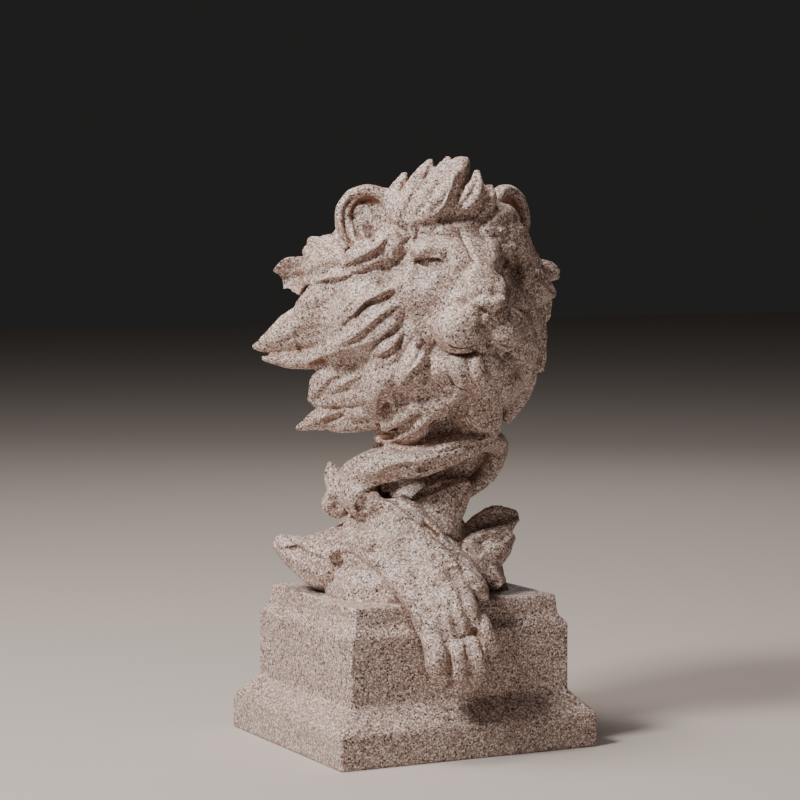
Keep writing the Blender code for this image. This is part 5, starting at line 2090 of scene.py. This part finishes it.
@dataclass
class Statue:
    """The whole casting: figure and plinth in one piece."""

    plinth: Plinth = field(default_factory=Plinth)
    head: Head = field(default_factory=Head)
    finish: SpeckledStone = field(default_factory=SpeckledStone)
    grain: float = 0.66
    triangles: int = 190000
    face_window: tuple[Point, Point] = ((0, 36, -6), (30, 22, 36))
    paw_window: tuple[Point, Point] = ((470, 655, 56), (18, 14, 18))
    unevenness: float = 0.5
    swell: float = 5.5
    seed: int = 5
    dimples: int = 90
    dimple_across: Pair = (284, 384)
    dimple_down: Pair = (534, 596)
    dimple_radius: Pair = (3.4, 5.5)
    dimple_push: Pair = (-1.0, 0.8)
    rays: int = 10
    ray_start: float = 0.4
    hollow_reach: float = 16.0
    thick_start: float = 1.0
    thick: float = 7.0

    def build(self) -> bpy.types.Object:
        """Works, carves and thins the casting.

        Returns:
            The finished piece, in metres.
        """
        sizes = self.plinth.sizes
        clay = Clay()
        self.plinth.build(clay)
        self.head.build(clay)
        Mane(self.head).build(clay)
        Drape(sizes.top).build(clay)
        Foreleg(sizes.top, sizes.front).build(clay)
        skin = Skin(clay.fuse("skin", self.grain, 1))
        skin.undercut(LOCK_LEDGES)
        skin.undercut(FOLD_LEDGES)
        skin = Skin(fused(skin.mesh, self.grain, 0))
        log.info("fused skin: %d points", len(skin.points))
        middle, reach = self.face_window
        skin = skin.refined(self.head.point(*middle), reach)
        middle, reach = self.paw_window
        skin = skin.refined(VIEW.at(*middle), reach)
        log.info("refined skin: %d points", len(skin.points))
        skin.weather(self.unevenness, self.swell)
        skin.carve(FACE_CUTS, self.head.middle[0])
        skin.undercut(FACE_LEDGES, self.head.middle[0])
        skin.carve_face(FACE_DETAILS, self.head)
        skin.carve(CUTS)
        skin.carve(self._dimples())
        skin.carve([Cut("bubble", ((u, v),), r, -BUBBLE_DEPTH * r) for u, v, r in BUBBLES])
        made = self._joined(skin)
        self._measure(made.data)
        return made

    def _dimples(self) -> list[Cut]:
        """Small lumps and hollows over the mound.

        Returns:
            Their cuts.
        """
        chance = random.Random(self.seed)
        cuts = []
        for _ in range(self.dimples):
            place = (chance.uniform(*self.dimple_across), chance.uniform(*self.dimple_down))
            radius = chance.uniform(*self.dimple_radius)
            cuts.append(Cut("dimple", (place,), radius, chance.uniform(*self.dimple_push)))
        return cuts

    def _joined(self, skin: Skin) -> bpy.types.Object:
        """The carved skin, less what the plinth hides, thinned and joined to the plinth.

        Args:
            skin: The carved skin.

        Returns:
            The piece, in metres.
        """
        base = self.plinth.crisp()
        hidden = self.plinth.holds(skin.points)
        form = bmesh.new()
        form.from_mesh(skin.mesh)
        form.verts.ensure_lookup_table()
        buried = [form.verts[i] for i in np.flatnonzero(hidden)]
        bmesh.ops.delete(form, geom=buried, context="VERTS")
        form.to_mesh(skin.mesh)
        form.free()
        worked = bpy.data.objects.new("worked", skin.mesh)
        bpy.context.scene.collection.objects.link(worked)
        count = sum(len(face.vertices) - 2 for face in skin.mesh.polygons)
        thin = worked.modifiers.new("thin", "DECIMATE")
        thin.ratio = min(1.0, (self.triangles - len(base.polygons)) / count)
        thin.use_collapse_triangulate = True
        whole = bmesh.new()
        for mesh in (applied(worked, "figure"), base):
            whole.from_mesh(mesh)
            bpy.data.meshes.remove(mesh)
        mesh = bpy.data.meshes.new("statue")
        whole.to_mesh(mesh)
        whole.free()
        mesh.transform(Matrix.Scale(MM, 4))
        mesh.shade_smooth()
        made = bpy.data.objects.new("statue", mesh)
        bpy.context.scene.collection.objects.link(made)
        log.info("statue: %d triangles", len(mesh.polygons))
        return made

    def _measure(self, mesh: bpy.types.Mesh) -> None:
        """Stores how enclosed and how thin the stone is at each point, for the finish.

        Args:
            mesh: The piece's mesh.
        """
        # The hollow and thin values drive the painted shade and the painted glow in the finish.
        tree = BVHTree.FromPolygons(
            [vert.co.copy() for vert in mesh.vertices],
            [tuple(face.vertices) for face in mesh.polygons],
        )
        fan = self._fan(self.rays)
        reach = self.hollow_reach * MM
        hollow = []
        thin = []
        for vert in mesh.vertices:
            normal = vert.normal.copy()
            turn = normal.to_track_quat("Z", "Y")
            start = vert.co + normal * (self.ray_start * MM)
            shut = 0.0
            for way in fan:
                far = tree.ray_cast(start, turn @ way, reach)[3]
                if far is not None:
                    shut += 1 - far / reach
            hollow.append(shut / len(fan))
            start = vert.co - normal * (self.thick_start * MM)
            far = tree.ray_cast(start, -normal, self.thick * MM)[3]
            thin.append(0.0 if far is None else 1 - far / (self.thick * MM))
        for name, values in (("hollow", hollow), ("thin", thin)):
            mesh.attributes.new(name, "FLOAT", "POINT").data.foreach_set("value", values)

    @staticmethod
    def _fan(count: int) -> list[Vector]:
        """Directions spread evenly over a half ball about Z.

        Args:
            count: How many directions.

        Returns:
            The directions, of length one.
        """
        lowest, golden_turn = 0.25, 2.399963
        ways = []
        for i in range(count):
            z = lowest + (1 - lowest) * (i + 0.5) / count
            ring = math.sqrt(1 - z * z)
            turn = i * golden_turn
            ways.append(Vector((ring * math.cos(turn), ring * math.sin(turn), z)))
        return ways

    def dress(self, made: bpy.types.Object) -> None:
        """Gives the piece its finish and its place in the frame.

        Args:
            made: The piece.
        """
        made.data.materials.clear()
        made.data.materials.append(self.finish.material())
        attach(made, "root")
        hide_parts(NODE)


@dataclass(frozen=True)
class Lamp:
    """A soft square light."""

    name: str
    place: Point
    size: float
    power: float
    colour: Point = (1.0, 1.0, 1.0)

    def build(self, target: Vector) -> None:
        """Hangs the light and turns it to the target.

        Args:
            target: The point that it shines at.
        """
        data = bpy.data.lights.new(self.name, "AREA")
        data.energy = self.power
        data.size = self.size
        data.color = self.colour
        made = bpy.data.objects.new(self.name, data)
        made.location = self.place
        made.rotation_euler = (target - Vector(self.place)).to_track_quat("-Z", "Y").to_euler()
        bpy.context.scene.collection.objects.link(made)


@dataclass(frozen=True)
class Studio:
    """A plain pale floor and soft light from above and from the upper left."""

    floor_size: float = 8.0
    floor_colour: Point = (0.52, 0.46, 0.42)
    floor_roughness: float = 0.85
    target: Point = (0.0, 0.0, 0.13)
    air: Point = (0.92, 0.88, 0.86)
    air_strength: float = 0.02
    lamps: tuple[Lamp, ...] = (
        Lamp("key", (-0.90, -0.26, 0.98), 0.28, 18.5, (1.0, 0.99, 0.97)),
        Lamp("top", (-0.30, 0.10, 1.50), 0.5, 15.0, (1.0, 0.92, 0.88)),
        Lamp("back", (0.7, 0.9, 0.7), 0.5, 1.2, (1.0, 0.95, 0.9)),
    )

    def build(self) -> None:
        """Lays the floor, fills the air with light and hangs the lamps."""
        mesh = bpy.data.meshes.new("floor")
        plane = bmesh.new()
        bmesh.ops.create_grid(plane, x_segments=1, y_segments=1, size=self.floor_size / 2)
        plane.to_mesh(mesh)
        plane.free()
        floor = bpy.data.objects.new("floor", mesh)
        bpy.context.scene.collection.objects.link(floor)
        tree = ShaderTree("pale_floor")
        tree.plug(tree.shader.inputs["Base Color"], self.floor_colour)
        tree.plug(tree.shader.inputs["Roughness"], self.floor_roughness)
        mesh.materials.append(tree.material)
        world = bpy.data.worlds.new("air")
        world.use_nodes = True
        back = world.node_tree.nodes["Background"]
        back.inputs["Color"].default_value = (*self.air, 1.0)
        back.inputs["Strength"].default_value = self.air_strength
        bpy.context.scene.world = world
        for lamp in self.lamps:
            lamp.build(Vector(self.target))


def main() -> None:
    """Builds the studio, the camera and the statue."""
    logging.basicConfig(level=logging.INFO, format="%(name)s: %(message)s")
    Studio().build()
    VIEW.camera()
    statue = Statue()
    made = statue.build()
    statue.dress(made)
    log.info("piece %s stands for node %s", made.name, NODE)


if __name__ == "__main__":
    main()
